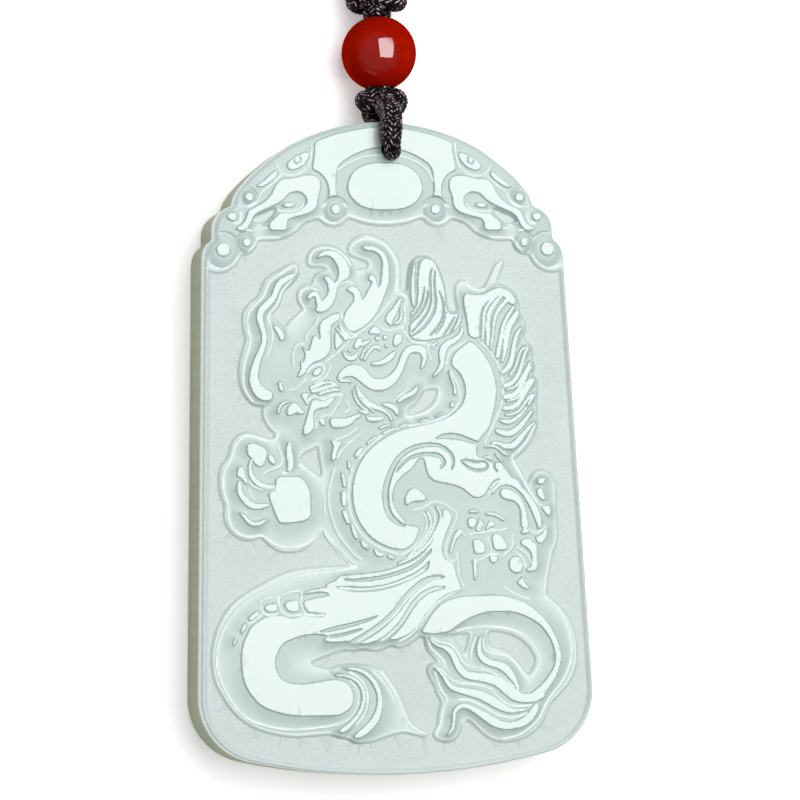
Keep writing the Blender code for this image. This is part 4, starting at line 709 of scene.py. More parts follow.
# %% Thin ledges on the slopes, raised a little, with a painted highlight along them
LINES = {
    "bellyA": [
        (-6.1, -0.8), (-6.5, -2), (-6.75, -3.3), (-6.7, -4.5), (-6.5, -5.5), (-6.1, -6.8), (-5.5, -7.8),
        (-4.7, -8.8), (-4.2, -9.4), (-3.6, -9.8)],
    "bellyB": [
        (-4.2, -0.6), (-4.6, -2), (-4.75, -3.5), (-4.6, -5), (-4.2, -6.2), (-3.4, -7.4), (-2.4, -8.3),
        (-1.2, -8.9), (0.2, -9.4)],
    "bellyC": [
        (-3.6, 0.2), (-2.6, 1.4), (-1.2, 2.5), (0.4, 3.25), (2.2, 3.6), (4, 3.85), (5.4, 4.25), (6.6, 5.1),
        (7.1, 6), (7.1, 7), (6.8, 8), (6.3, 8.9)],
    "elbow": [
        (2, -5), (3, -4.75), (3.7, -4.3), (4.2, -4.15), (4.9, -4.3), (5.6, -4.7), (6.3, -5.2), (6.5, -5.4),
        (6.3, -6.1), (5.9, -6.9), (5.5, -7.7), (5.2, -8.5), (5.1, -9.3), (5.3, -9.9), (5.9, -10.3),
        (6.2, -10)],
    "sheafl1": [(0.5, -9.5), (1.5, -9), (2.4, -8.1), (3.1, -7.2), (3.3, -6.4), (3.2, -5.7), (2.95, -5.3)],
    "sheafl2": [(1, -9.8), (2, -9.2), (3, -8.2), (3.8, -7.1), (4.1, -6.2), (4.1, -5.4), (3.8, -4.8)],
    "whiskl": [
        (-9.3, 19.4), (-9.6, 18.6), (-10.3, 17.7), (-10.9, 17), (-11.2, 16), (-11.8, 15.2), (-12.3, 14.7),
        (-12.2, 13.9), (-12, 13), (-12, 12), (-12.2, 11.4), (-12.5, 10.6)],
    "whiskr": [
        (-9.9, 19.6), (-11, 18.9), (-12.1, 18.2), (-12.5, 17.4), (-12.8, 16.6), (-13.6, 15.9), (-14.4, 15),
        (-14.55, 14), (-14.4, 13), (-14.2, 12.3), (-14.5, 11.2), (-14.9, 10.2), (-15.1, 9), (-15.1, 7.8),
        (-14.8, 6.9), (-14.2, 6.1)],
    "hornl": [
        (0.1, 21.6), (0.8, 20.6), (1.15, 19.5), (1.1, 18.3), (0.9, 17.2), (0.9, 16.9), (1.5, 16.8),
        (1.9, 16.5), (2, 16), (1.75, 15.6), (1.65, 14.8), (1.75, 14.1), (1.4, 13.4)],
    "horn2": [(-3.6, 21.7), (-3, 22.2), (-2, 22.5), (-1, 22.3), (0, 21.7)],
    "hornfoot": [
        (0.5, 16.4), (-0.1, 15.7), (-0.9, 14.7), (-1.6, 14), (-2.6, 13.2), (-3.6, 12.6), (-4.6, 11.6),
        (-5.6, 10.7), (-6.6, 10)],
    "hornfoot2": [(-4.9, 14.9), (-4.8, 14.2), (-4.5, 13.5), (-4, 12.8), (-3.4, 12.5)],
    "antl1": [(-8, 20), (-7.9, 20.8), (-7.3, 21.4), (-6.2, 21.55), (-5, 21.2), (-4.2, 20.5), (-3.7, 19.7)],
    "antl2": [(-8.7, 15.5), (-9.1, 16.2), (-9.1, 16.9), (-8.6, 17.4), (-7.9, 17.5), (-7.2, 17.2)],
    "antl3": [(-5.5, 16.6), (-5.5, 17.1), (-5.1, 17.7), (-4.4, 18), (-3.6, 17.95)],
    "brow_l": [(-8.6, 12.1), (-8.5, 12.8), (-8, 13.3), (-7.6, 13.7), (-7.3, 14.4)],
    "brow_m": [(-9.95, 9.7), (-9.95, 10.6), (-9.8, 11.4), (-9.4, 11.9), (-8.9, 11.8)],
    "snout_l": [(-10.3, 7.2), (-9.6, 7.4), (-9, 8), (-8.6, 8.3)],
    "eye_r1": [
        (-8.6, 8.9), (-8.3, 9.3), (-7.7, 9.65), (-7.1, 9.8), (-6.8, 9.6), (-6.8, 9.1), (-7.1, 8.6),
        (-7.6, 8.3), (-8.2, 8.2)],
    "eye_r2": [(-6.2, 9.8), (-6.2, 9.2), (-6.5, 8.7), (-7.1, 8.2), (-7.8, 7.9)],
    "head_r": [(-10, 14), (-9.2, 14.7), (-8.6, 15.2)],
    "mouth1": [(-8.65, 5.95), (-8.3, 6.4), (-7.8, 6.55), (-7, 6.25), (-6.5, 6.45), (-6, 6.7), (-5.3, 6.65)],
    "mouth2": [
        (-7.8, 3.4), (-7.75, 3.9), (-7.5, 4.4), (-7, 4.65), (-6.4, 4.6), (-6, 5), (-5.7, 5.5), (-5.3, 6),
        (-5, 6.8)],
    "mouth3": [(-4.6, 6), (-4.3, 5.3), (-4.4, 5.15), (-5, 4.85)],
    "chinl": [(-6, 2.2), (-5.2, 2.4), (-4.4, 2.7), (-3.6, 3.3)],
    "chinl2": [(-5.7, 0.4), (-5.3, 1), (-4.6, 1.7), (-3.7, 2.5), (-3.1, 3)],
    "jowl1": [(0.3, 6.1), (0.9, 6.6), (1.6, 7.1)],
    "jowl2": [(5, 6.8), (4.9, 6.2), (4.4, 5.4), (3.5, 4.8), (2.3, 4.5), (1.7, 4.35)],
    "lockl": [(7.9, 12), (7.2, 11.5), (6.4, 11.1), (6, 10.4), (5.8, 9.6), (5.75, 9.1)],
    "temple_l": [(4.1, 11.7), (3.9, 11), (4.2, 10.4), (4.3, 10.1)],
    "temple_m": [(1.3, 13.3), (1.8, 12.6), (2.2, 11.9), (3, 11.85), (3.9, 11.7), (4.6, 11.3)],
    "ringA": [(-1, 13.6), (-0.6, 13.2), (0, 13.05), (0.7, 13.2), (1.3, 13.4)],
    "spine": [
        (9.3, 12), (10, 11.3), (10.7, 10.4), (11.2, 9.5), (11.5, 8.7), (11.65, 7.8), (11.6, 6.9),
        (11.55, 6), (11.3, 5.1), (10.8, 4.1), (10.3, 3), (9.7, 2), (9.5, 1.3)],
    "ledge_t": [(8.2, 18), (8.7, 17.5), (9.3, 17.2), (10, 17.25)],
    "hand1": [
        (-11.8, 1.7), (-11.5, 0.9), (-11.35, 0.2), (-11.6, -0.4), (-12.3, -0.65), (-12.9, -0.8),
        (-13.4, -1.2)],
    "hand2": [(-11.4, -1), (-10.9, -1.1), (-10.5, -1.05)],
    "hand3": [(-9.6, -0.2), (-8.9, -0.7), (-8.2, -1.2), (-7.6, -1.7)],
    "hand4": [(-7.3, -2.5), (-7.2, -3.5), (-7.15, -4.5), (-7.2, -5.5)],
    "hand5": [
        (-7.5, -6.95), (-8.3, -7.8), (-9.4, -8.35), (-10.8, -8.55), (-12, -8.35), (-13, -7.7),
        (-13.6, -7.2), (-14.6, -7.45), (-15.8, -7.2), (-16.7, -6.4), (-17, -5.4), (-17, -4.4)],
    "hand6": [
        (-17, -4), (-17.35, -3), (-17.45, -1.8), (-17.3, -0.7), (-16.7, 0.1), (-16.4, 0.9), (-16.1, 1.8),
        (-15.4, 2.6), (-14.6, 2.85), (-13.6, 2.5), (-12.6, 2.2), (-11.9, 2.3), (-11.7, 3)],
    "talonl": [(-14.8, -1.9), (-14.3, -2.4), (-13.5, -2.7), (-12.8, -2.65), (-12.2, -2.6)],
    "talonm": [(-14.8, -2.7), (-14.6, -3.2), (-14.3, -3.6)],
    "fistl1": [(7.7, -7.5), (8.3, -7.4), (9, -7.45), (9.5, -7.3), (10.2, -7.1), (11, -7.15), (11.6, -7)],
    "fistl2": [(9.5, -8), (9.8, -8.6), (9.85, -9.3)],
    "fistl3": [(12.2, -7.7), (12.2, -8.5), (12, -9), (11.4, -9.5), (11, -9.8)],
    "fistl4": [(8, -10.1), (8.9, -10.1), (9.3, -9.7), (9.9, -9.55), (10.6, -9.6)],
    "fistl5": [(12.5, -9.5), (13, -9.8), (13.3, -10.4), (13.4, -11)],
    "fistl6": [(12.6, -8.95), (13.2, -9.3), (13.7, -9.8), (14, -10.6)],
    "fistl7": [
        (6.3, -9.4), (6.4, -10.4), (6.4, -11.4), (6.7, -12.4), (7, -12.8), (6.2, -13.2), (5.2, -13.6),
        (4.2, -14.2), (3.3, -15.1), (2.5, -16.1), (1.8, -17), (0.9, -17.7), (0.1, -18.1)],
    "fistl8": [(11.1, -12.9), (12, -13.5), (13, -13.95), (13.8, -14.1)],
    "fistl9": [(6.6, -7), (7, -7.3), (7.2, -7.7)],
    "claw_l": [(13.8, -7), (14.1, -7.4), (14.7, -7.5), (15.2, -7.3), (15.7, -6.85)],
    "arml": [(9.8, -3.9), (9.9, -3.1), (10.4, -2.5)],
    "spurl": [
        (12.4, 0.1), (12.8, -0.6), (13.3, -1.5), (13.8, -2.6), (14.3, -3.6), (14.9, -4.5), (15.4, -4.85)],
    "finl": [(12.5, 0.3), (13.2, 0.9), (13.9, 1.6), (14.5, 2.6), (14.9, 3.4)],
    "loop_out": [
        (-4.2, -10.5), (-6, -10.85), (-8, -11), (-10, -11.3), (-11.5, -11.8), (-13, -12.5), (-14.5, -13.2),
        (-15.8, -14), (-16.8, -15), (-17.6, -16.1), (-18.2, -17.3), (-18.5, -18.6), (-18.6, -19.8),
        (-18.4, -21), (-17.9, -22.3), (-17.2, -23.6), (-16.3, -24.8), (-15.2, -25.6), (-13.5, -26.2),
        (-11.5, -26.6), (-9, -26.5), (-7, -26.3), (-5.6, -25.8), (-4.8, -25.1), (-4.4, -24.2),
        (-4.3, -23.2), (-4.6, -22.4), (-5.1, -21.9)],
    "belly_low": [(-4.3, -10.6), (-5.2, -9.8), (-6.3, -8.6), (-7.2, -7.2)],
    "scaleA": [
        (-12.1, -13.4), (-12.1, -14.2), (-11.9, -14.8), (-11.4, -15.2), (-10.6, -15.3), (-9.8, -15.1),
        (-9.2, -15.2), (-8.2, -15.3), (-7.5, -15.2)],
    "scaleB": [
        (-11.9, -13.2), (-11, -12.85), (-10.1, -12.75), (-9.7, -13), (-9.9, -13.8), (-9.8, -14.5),
        (-9.5, -15)],
    "scaleC": [(-14.1, -13.8), (-13.3, -13.35), (-12.3, -13.3)],
    "scaleD": [(-14, -14.2), (-13.8, -14.9), (-13.4, -15.15), (-12.4, -15.05)],
    "scaleE": [(-14, -15.1), (-14.8, -15.8), (-15.2, -15.9)],
    "tail_out": [
        (15.5, -14), (16.5, -14.9), (17.2, -15.8), (17.7, -16.9), (18, -18.2), (18.05, -19.5),
        (17.9, -20.6), (17.4, -21.8), (16.6, -23), (15.6, -24), (15, -25), (14.4, -26.2), (13.3, -27.2),
        (12, -27.9), (10.5, -28.15)],
    "tail_in": [
        (6, -17.2), (7.2, -16.95), (8.5, -16.85), (10, -16.9), (11.5, -17.1), (12.9, -17.7), (13.8, -18.6),
        (14.4, -19.5), (14.6, -20.3), (14.3, -21.2), (13.6, -22)],
    "flame_l1": [
        (6.2, -22.4), (7.5, -22.55), (8.5, -22.75), (9.4, -23.1), (10, -23.8), (10.8, -24.5),
        (11.6, -24.85), (12.6, -24.9), (13.5, -24.8)],
    "flame_l2": [
        (6.1, -24.05), (7, -24.1), (8, -24.5), (9, -25.1), (10, -25.7), (11, -26), (12, -26), (13, -25.6)],
    "flame_l3": [(3, -18), (3.2, -18.8), (4, -19.5), (4.6, -20.2), (4.8, -20.9)],
    "flame_l4": [(3.5, -20.6), (4.3, -20.9), (4.8, -21.5), (5.4, -22.1), (6.2, -22.4)],
    "flame_l5": [(7.9, -17.9), (7.6, -18.6), (7.4, -19.4), (7.35, -20)],
    "flame_l6": [
        (3.5, -17.8), (4, -18.2), (5, -18.3), (5.6, -18.6), (6.2, -19.4), (6.5, -20.2), (7.2, -20.7),
        (7.9, -20.9)],
    "flame_l7": [
        (8.8, -18), (8.8, -18.8), (9.2, -19.3), (10.2, -19.5), (11.2, -19.7), (12, -20.3), (12.6, -21.2),
        (13.1, -21.9), (13.4, -22.2)],
    "flame_l8": [(8.4, -21), (9.4, -21.3), (10.4, -21.9), (11.2, -22.5), (11.9, -22.9)],
    "flame_l9": [
        (3.6, -21.3), (3.9, -22.3), (4.3, -23.3), (4.9, -23.95), (4.4, -24.6), (4.2, -25.6), (4, -26.6),
        (3.5, -27.3)],
    "flame_l10": [(6.9, -26.6), (6.6, -26.1), (6.5, -26.6)],
    "tuftl": [
        (-1.8, -21), (-0.8, -22.4), (-0.1, -23.8), (0.4, -25.3), (0.9, -26.5), (1.7, -27), (2.6, -27.4)],
    "tuftm": [(-2.7, -20.9), (-2, -21.6), (-1.3, -22.5), (-0.9, -23.2), (-0.5, -24.2)],
    "tuftn": [
        (-5.1, -21), (-4.2, -21.5), (-3.6, -22.3), (-3.3, -23.3), (-3.4, -24.4), (-3.8, -25.4),
        (-4.6, -26.3)],
    "legAl": [
        (4.3, -11.8), (3.2, -12.2), (2.1, -12.85), (1.1, -13.7), (0.3, -14.7), (-0.7, -15.7),
        (-1.8, -16.6), (-3, -17.3), (-4.2, -18)],
    "legBl": [
        (4.6, -12.7), (3.4, -13), (2.4, -13.6), (1.6, -14.4), (0.9, -15.4), (0.2, -16.4), (-0.7, -17.2),
        (-1.8, -18)],
    "sheafBl": [
        (-5.9, -12.55), (-4.6, -12.75), (-3.1, -12.8), (-1.4, -12.6), (0.2, -12.2), (1.8, -11.6),
        (2.8, -11)],
    "moat": [
        (-4.8, 29.3), (-3.9, 29.85), (-2.9, 30.35), (-1.8, 30.7), (-0.4, 30.87), (1.3, 30.8), (2.5, 30.5),
        (3.8, 29.9), (4.6, 29.1), (4.95, 28.2)],
}
BAND_LINES = {
    "wingedge": [
        (-7.45, 32), (-7.45, 31.2), (-7.6, 30.2), (-7.9, 29.5), (-8.4, 29.1), (-9.2, 28.75),
        (-10.1, 28.75), (-10.6, 29), (-10.9, 29.5), (-11.1, 29.8)],
    "cheek": [
        (-10.6, 28.8), (-11.2, 28.2), (-12, 27.5), (-12.8, 26.9), (-13, 26.3), (-13.5, 25.8),
        (-14.4, 25.55), (-15, 25.6)],
    "ballA": [(-18, 19.6), (-17, 19.25), (-16.2, 19.5), (-15.5, 20), (-15.1, 20.7)],
    "ballB": [(-14.2, 21), (-13.7, 21.4), (-13.4, 22), (-13.2, 22.4), (-12.2, 22.45), (-11, 22.45)],
    "ballC": [
        (-6.7, 24.5), (-6.2, 24.1), (-5.4, 23.85), (-4.6, 24.1), (-3.9, 24.75), (-3.2, 24.5), (-2, 24.15),
        (-0.8, 24), (0, 24)],
    "dotA": [(-14.3, 23.2), (-13.7, 23.15)],
    "dotB": [(-12.8, 23.45), (-12.3, 23.45)],
    "tick": [(-6.5, 25.5), (-6.25, 25.8)],
    "tick2": [(-4.25, 25.85), (-4, 25.6)],
    "fold": [(-14.85, 25), (-14.8, 24.5), (-15, 24), (-15.6, 23.85)],
    "eyering": [(-10.9, 25.2), (-10.2, 25.1), (-9.4, 25.15), (-8.8, 25.4), (-8.5, 25.8)],
}

# %% Where the figure and the band meet the ground
OUTLINE = [
    (-9.3, 19.95), (-9.1, 19.2), (-9.3, 18.5), (-10, 17.8), (-10.7, 17.3), (-10.95, 16.6), (-11.1, 16),
    (-11.6, 15.3), (-12.1, 14.9), (-11.9, 14.5), (-11.5, 14.1), (-10.6, 13.35), (-10.2, 13.9),
    (-9.3, 14.7), (-8.6, 15.25), (-8.8, 15.6), (-9.15, 16.1), (-9.25, 16.8), (-8.95, 17.4), (-8.3, 17.75),
    (-7.7, 17.7), (-7.5, 18.4), (-7.1, 18.9), (-6.6, 19.1), (-6, 19.2), (-6.2, 19.5), (-6.8, 19.65),
    (-7.5, 19.6), (-8.1, 19.8), (-8.1, 20.5), (-7.7, 21.2), (-7, 21.6), (-6, 21.7), (-5, 21.4),
    (-4.4, 20.9), (-3.9, 20.3), (-3.6, 19.7), (-3.2, 19.15), (-2.5, 19.25), (-1.9, 19.3), (-1.8, 20.05),
    (-2.3, 20.3), (-3.1, 20.55), (-3.75, 20.85), (-3.9, 21.4), (-3.6, 22), (-2.9, 22.55), (-1.9, 22.8),
    (-0.8, 22.5), (0.1, 21.9), (0.9, 21), (1.3, 20), (1.35, 19), (1.3, 18), (1.2, 17.25), (1.6, 17.1),
    (2.1, 17), (2.2, 18), (2.35, 19.2), (2.7, 20.1), (3.3, 20.5), (4.3, 20.5), (5, 19.9), (5.5, 18.9),
    (5.8, 17.8), (5.95, 16.8), (6, 15.8), (6.2, 15.1), (6.6, 14.9), (7, 14.9), (7.4, 15.1), (7.2, 15.8),
    (7.1, 16.8), (7.15, 17.6), (7.5, 18.05), (8, 18.1), (8.5, 17.6), (9.1, 17.2), (9.8, 17.2),
    (10.3, 17.6), (10.8, 18.5), (11.2, 19.4), (11.8, 20.1), (12.2, 20.1), (11.8, 19.3), (11.4, 18.3),
    (11.3, 17.65), (12.4, 17.45), (13.2, 16.8), (13.6, 15.8), (13.5, 15), (14, 14.2), (14.2, 13.2),
    (13.9, 12.3), (14.3, 11.8), (14.7, 11.4), (14.85, 10.8), (14.7, 10.2), (15, 9.6), (14.9, 9),
    (14.7, 8.4), (15.1, 8.2), (15.25, 7.6), (15.2, 6.8), (15.1, 5.8), (15.05, 4.8), (15.15, 3.8), (15, 3),
    (14.7, 2.3), (14.2, 1.5), (13.5, 0.8), (12.8, 0.3), (12.45, 0), (12.8, -0.6), (13.3, -1.5),
    (13.8, -2.4), (14.05, -2.75), (14.15, -2.3), (14.5, -1.6), (15.1, -1.2), (15.9, -1.25), (16.5, -1.8),
    (16.85, -2.6), (16.85, -3.5), (16.8, -4.5), (16.85, -5.5), (16.8, -6.5), (16.9, -7.5), (16.75, -8.5),
    (16.4, -9.2), (16.15, -10), (15.95, -11), (15.7, -12), (15.6, -13), (15.5, -13.85), (16, -14.2),
    (16.7, -14.8), (17.4, -15.6), (18, -16.6), (18.4, -17.9), (18.55, -19.2), (18.5, -20.4), (18.2, -21.5),
    (17.6, -22.6), (16.8, -23.5), (15.9, -24.3), (15.3, -25), (15, -25.9), (14.4, -26.8), (13.5, -27.6),
    (12.3, -28.15), (10.8, -28.35), (9.5, -28.1), (8.6, -27.5), (7.9, -26.8), (7.4, -26.3), (6.9, -25.95),
    (6.4, -26.2), (6.15, -26.8), (5.9, -27.5), (5.3, -28.05), (4.4, -28.15), (3.4, -27.7), (3.6, -27.1),
    (3.95, -26.5), (3.95, -25.6), (4.25, -24.7), (4.4, -24.1), (3.9, -23.4), (3.7, -22.5), (3.25, -21.8),
    (2.95, -21), (3.2, -20.5), (3.8, -20.3), (4.2, -20.3), (3.8, -19.8), (3.1, -19.1), (2.85, -18.2),
    (2.8, -17.6), (2.2, -17.5), (1.4, -18.1), (0.6, -18.5), (0, -18.6), (-0.7, -18.3), (-1.5, -18.7),
    (-2.6, -18.9), (-3.4, -18.6), (-4.5, -18.8), (-5.5, -18.7), (-6.2, -18.8), (-8, -19.4), (-9.3, -19.9),
    (-8.3, -20.5), (-7, -20.7), (-6.2, -20.4), (-5.2, -20.3), (-4, -20.35), (-3, -20.45), (-2, -20.85),
    (-1.1, -21.7), (-0.4, -22.8), (0.2, -24), (0.6, -25.2), (1.1, -26.3), (1.9, -26.9), (2.7, -27.3),
    (2.5, -27.6), (1.5, -27.3), (0.3, -27), (-1.2, -27.3), (-3, -27.9), (-4.6, -28), (-5.4, -27.5),
    (-6.4, -27.3), (-7.2, -27), (-9, -27.1), (-11, -27.2), (-13, -26.8), (-14.8, -26.2), (-16.2, -25.3),
    (-17.2, -24.2), (-18, -22.9), (-18.7, -21.5), (-18.95, -19.8), (-18.85, -18.3), (-18.5, -16.9),
    (-17.9, -15.6), (-17.2, -14.5), (-16.3, -13.6), (-15, -12.8), (-13.5, -12), (-12, -11.3),
    (-10.5, -10.8), (-9, -10.65), (-7, -10.5), (-5, -10.45), (-4.2, -10.45), (-4.7, -10), (-5.5, -9.2),
    (-6.3, -8.3), (-7, -7.4), (-7.35, -6.8), (-7.6, -6.8), (-8, -7.2), (-8.6, -8), (-9.4, -8.6),
    (-10.5, -8.85), (-11.6, -8.8), (-12.6, -8.3), (-13.3, -7.6), (-13.7, -7.25), (-14.3, -7.5),
    (-15.2, -7.6), (-16.1, -7.25), (-16.9, -6.5), (-17.25, -5.6), (-17.3, -4.8), (-17.15, -4.1),
    (-17.5, -3.4), (-17.7, -2.4), (-17.7, -1.4), (-17.5, -0.4), (-17, 0.2), (-16.65, 0.7), (-16.5, 1.3),
    (-16.3, 2), (-15.8, 2.65), (-15, 3), (-14.3, 2.95), (-13.5, 2.65), (-12.8, 2.35), (-12, 2.25),
    (-11.95, 2.6), (-11.9, 3), (-12.4, 3.4), (-12.8, 4), (-13.1, 4.7), (-13.05, 5.4), (-12.9, 5.8),
    (-13.4, 5.75), (-14.2, 5.95), (-14.9, 6.8), (-15.3, 7.8), (-15.4, 8.8), (-15.3, 9.9), (-15, 10.9),
    (-14.7, 11.8), (-14.55, 12.5), (-14.8, 13.4), (-14.9, 14.3), (-14.7, 15.2), (-14, 16), (-13.2, 16.6),
    (-12.9, 17.2), (-12.6, 18), (-12.1, 18.6), (-11, 19.2), (-10, 19.7)]
BAND_FOOT = [
    (-19.5, 19.6), (-18.5, 19.5), (-17.6, 19.1), (-16.6, 19.15), (-15.6, 19.75), (-15.2, 20.4),
    (-15, 20.9), (-14.3, 20.9), (-13.6, 21.35), (-13.25, 22.2), (-13.1, 22.4), (-12, 22.35), (-11, 22.4),
    (-10, 22.75), (-9.2, 23.2), (-8.7, 23.8), (-8, 24.2), (-7, 24.5), (-6.6, 24.4), (-6.2, 23.9),
    (-5.3, 23.7), (-4.4, 24), (-3.9, 24.6), (-3.3, 24.5), (-2.4, 24.1), (-1.3, 23.9), (0, 23.8)]
POCKETS = {
    "claw": [
        (-9.5, 0.6), (-9, 1.1), (-8.2, 1.4), (-7.6, 1.75), (-7.5, 1.3), (-7.4, 0.3), (-7.25, -0.6),
        (-7.2, -1.2), (-7.5, -1.6), (-8.2, -1.1), (-9, -0.3), (-9.5, 0.2)],
    "jowl": [
        (1.6, 5.3), (2.3, 5.6), (2.9, 6.2), (3.2, 7), (4, 7.3), (5, 7.3), (4.95, 6.5), (4.4, 5.6),
        (3.5, 4.9), (2.6, 4.6), (1.7, 4.4)],
    "tail": [
        (9.4, -17.1), (10.5, -17.2), (11.8, -17.5), (12.9, -18.1), (13.7, -18.9), (14.2, -19.8),
        (14.3, -20.5), (14, -21.2), (13.5, -21.9), (13.2, -21.7), (12.6, -20.9), (11.9, -20),
        (11.2, -19.4), (10.3, -19.1), (9.6, -19), (9.3, -18.4), (9.2, -17.7)],
    "tail2": [
        (5.2, -17.5), (6.2, -17.35), (7.2, -17.25), (7.5, -17.6), (7.2, -18.6), (6.9, -19.6), (6.5, -19.2),
        (6, -18.4), (5.5, -17.95)],
}
BAND_POCKET = [
    (-13.9, 24.1), (-13.4, 24.8), (-12.6, 25.1), (-11.7, 25.5), (-11.1, 25.6), (-11.2, 25), (-11.6, 24.5),
    (-12.2, 23.95), (-13, 23.8)]
print(len(STROKES), "strokes,", len(AREAS), "areas,", len(LINES), "ledges")

# %% [markdown]
# The relief is read as a map of heights over the face. Near the camera lie the
# polished tops. Around them the dragon's sides slope down to its foot, and the
# frosted ground lies below. A sculptor's brush could not be repeated, so each
# point's height comes from its distance to the nearest top and to the foot line.

# %% A grid over the face
STEP = 0.115                     # millimetres between the map's points
LEFT, LOW = -20.9, -31.7
COLUMNS, ROWS = 365, 576
xs = LEFT + STEP * np.arange(COLUMNS)
ys = LOW + STEP * np.arange(ROWS)
FAR = 9.0                   # stands for a line that is too far away to matter
REACH = 2.6                 # how far round a line its distances are worked out
FOOT_REACH, POCKET_REACH, RIM_REACH = 6.0, 4.0, 1.6


def soften(points, closed, rounds=2):
    """Cut a line's corners, so that few points give a smooth curve."""
    line = np.array(points, dtype=float)
    for _ in range(rounds):
        following = np.roll(line, -1, axis=0)
        if not closed:
            line, following, first, last = line[:-1], following[:-1], line[:1], line[-1:]
        cut = np.stack((0.75 * line + 0.25 * following, 0.25 * line + 0.75 * following), axis=1)
        cut = cut.reshape(-1, line.shape[1])
        line = cut if closed else np.concatenate((first, cut, last))
    return line


def new_map():
    return np.full((ROWS, COLUMNS), FAR)


def stamp(field, line, closed=False, reach=REACH):
    """Lower the map to its distance from a line, less the line's half width."""
    ends = np.roll(line, -1, axis=0)
    for a, b in list(zip(line, ends))[:None if closed else -1]:
        i0, i1 = [int((value - LEFT) / STEP) for value in (min(a[0], b[0]) - reach, max(a[0], b[0]) + reach)]
        j0, j1 = [int((value - LOW) / STEP) for value in (min(a[1], b[1]) - reach, max(a[1], b[1]) + reach)]
        i0, i1, j0, j1 = max(i0, 0), min(i1, COLUMNS), max(j0, 0), min(j1, ROWS)
        if i0 >= i1 or j0 >= j1:
            continue
        px, py = xs[None, i0:i1] - a[0], ys[j0:j1, None] - a[1]
        run = b[:2] - a[:2]
        share = np.clip((px * run[0] + py * run[1]) / max(run @ run, 1e-9), 0, 1)
        away = np.hypot(px - share * run[0], py - share * run[1])
        if len(a) > 2:
            away -= a[2] + share * (b[2] - a[2])
        np.minimum(field[j0:j1, i0:i1], away, out=field[j0:j1, i0:i1])


def within(line):
    """True where the map's points lie inside a closed line."""
    flips = np.zeros((ROWS, COLUMNS), dtype=int)
    for a, b in zip(line, np.roll(line, -1, axis=0)):
        j0, j1 = sorted(int(math.ceil((value - LOW) / STEP)) for value in (a[1], b[1]))
        j = np.arange(max(j0, 0), min(j1, ROWS))
        if len(j):
            x = a[0] + (ys[j] - a[1]) * (b[0] - a[0]) / (b[1] - a[1])
            np.add.at(flips, (j, np.clip(np.ceil((x - LEFT) / STEP).astype(int), 0, COLUMNS - 1)), 1)
    return np.cumsum(flips, axis=1) % 2 == 1


def area(points, rounds=2, reach=REACH):
    """The distance from a closed line, negative inside it."""
    line = soften([point[:2] for point in points], True, rounds)
    field = new_map()
    stamp(field, line, True, reach)
    return np.where(within(line), -field, field)


def mirror(points):
    return [(-point[0], *point[1:]) for point in points]


def ramp(value):
    value = np.clip(value, 0, 1)
    return value * value * (3 - 2 * value)


# %% The tops, the grooves, the thin ledges and the foot
tops = new_map()
for points in STROKES.values():
    stamp(tops, soften(points, False))
for points in AREAS.values():
    tops = np.minimum(tops, area(points))
for points in BAND.values():
    for side in (points, mirror(points)):
        tops = np.minimum(tops, area(side))
grooves = new_map()
for points in list(GROOVES.values()) + [LENS_CURL, mirror(LENS_CURL)]:
    stamp(grooves, soften(points, False))
ledges = new_map()
for points in LINES.values():
    stamp(ledges, soften(points, False))
for points in BAND_LINES.values():
    stamp(ledges, soften(points, False))
    stamp(ledges, soften(mirror(points), False))
figure = area(OUTLINE, 1, FOOT_REACH)
band_line = soften(BAND_FOOT + mirror(BAND_FOOT)[-2::-1], False)
band_edge = new_map()
stamp(band_edge, band_line, False, FOOT_REACH)
above = ys[:, None] > np.interp(xs, band_line[:, 0], band_line[:, 1])[None, :]
band = np.where(above, -band_edge, band_edge)
foot = np.minimum(figure, band)
for points in list(POCKETS.values()) + [BAND_POCKET, mirror(BAND_POCKET)]:
    foot = np.maximum(foot, -area(points, 2, POCKET_REACH))
print("map of", ROWS, "by", COLUMNS, "points,", int((tops < 0).mean() * 100), "percent polished top")

# %% [markdown]
# A top ends in a small sharp step. From there the side slopes evenly to the foot
# line, where the burr left a thin raised lip, and beyond it the frosted ground lies
# lower still. Two tops that nearly meet keep only the step between them, so no gap
# turns into a trench.

# %% The map of heights
DEPTH = 0.64                # from the tops down to the ground
STEP_DEPTH = 0.16           # the sharp step round each top
STEP_WIDTH = 0.09
SIDE_DEPTH = 0.48           # how deep a side is when it reaches the foot line
SIDE_SLOPE = 0.35           # the steepest that a side may be
FOOT_RUN = 0.24             # how far the ground takes to sink beyond the foot line
GROOVE_DEPTH = 0.20
LEDGE_RISE = 0.08
LEDGE_WIDTH = 0.10
LEDGE_REACH = 0.25          # how far a ledge may run out over the ground
LIP_RISE = 0.04
LIP_WIDTH = 0.08
LIP_INSIDE = 0.08           # from the foot line in to the lip's crest
LIP_CLEAR = 0.40            # the lip fades this near to a top
LIP_SHINE = 0.2             # the lip's painted highlight, as a share of a ledge's
BALL_SIDE = 0.30            # how far a ball's side sinks below its step
BALL_BLEND = 0.22           # how softly a ball meets what lies round it
rise = np.maximum(tops, 0)
fall = np.maximum(-foot, 0)
share = rise / (rise + fall + 1e-6)
slope = np.minimum((SIDE_DEPTH - STEP_DEPTH) * share, rise * SIDE_SLOPE)
slope += (DEPTH - STEP_DEPTH - slope) * ramp(foot / FOOT_RUN)
depth = STEP_DEPTH * np.clip(rise / STEP_WIDTH, 0, 1) + slope
for x, y, outer, flat in BALLS + mirror(BALLS):
    away = np.hypot(xs[None, :] - x, ys[:, None] - y)
    share = np.clip((away - flat) / (outer - flat), 0, 1)
    dome = STEP_DEPTH * np.clip((away - flat) / STEP_WIDTH, 0, 1) + BALL_SIDE * share ** 2
    depth += (dome - depth) * ramp((outer - away) / BALL_BLEND)
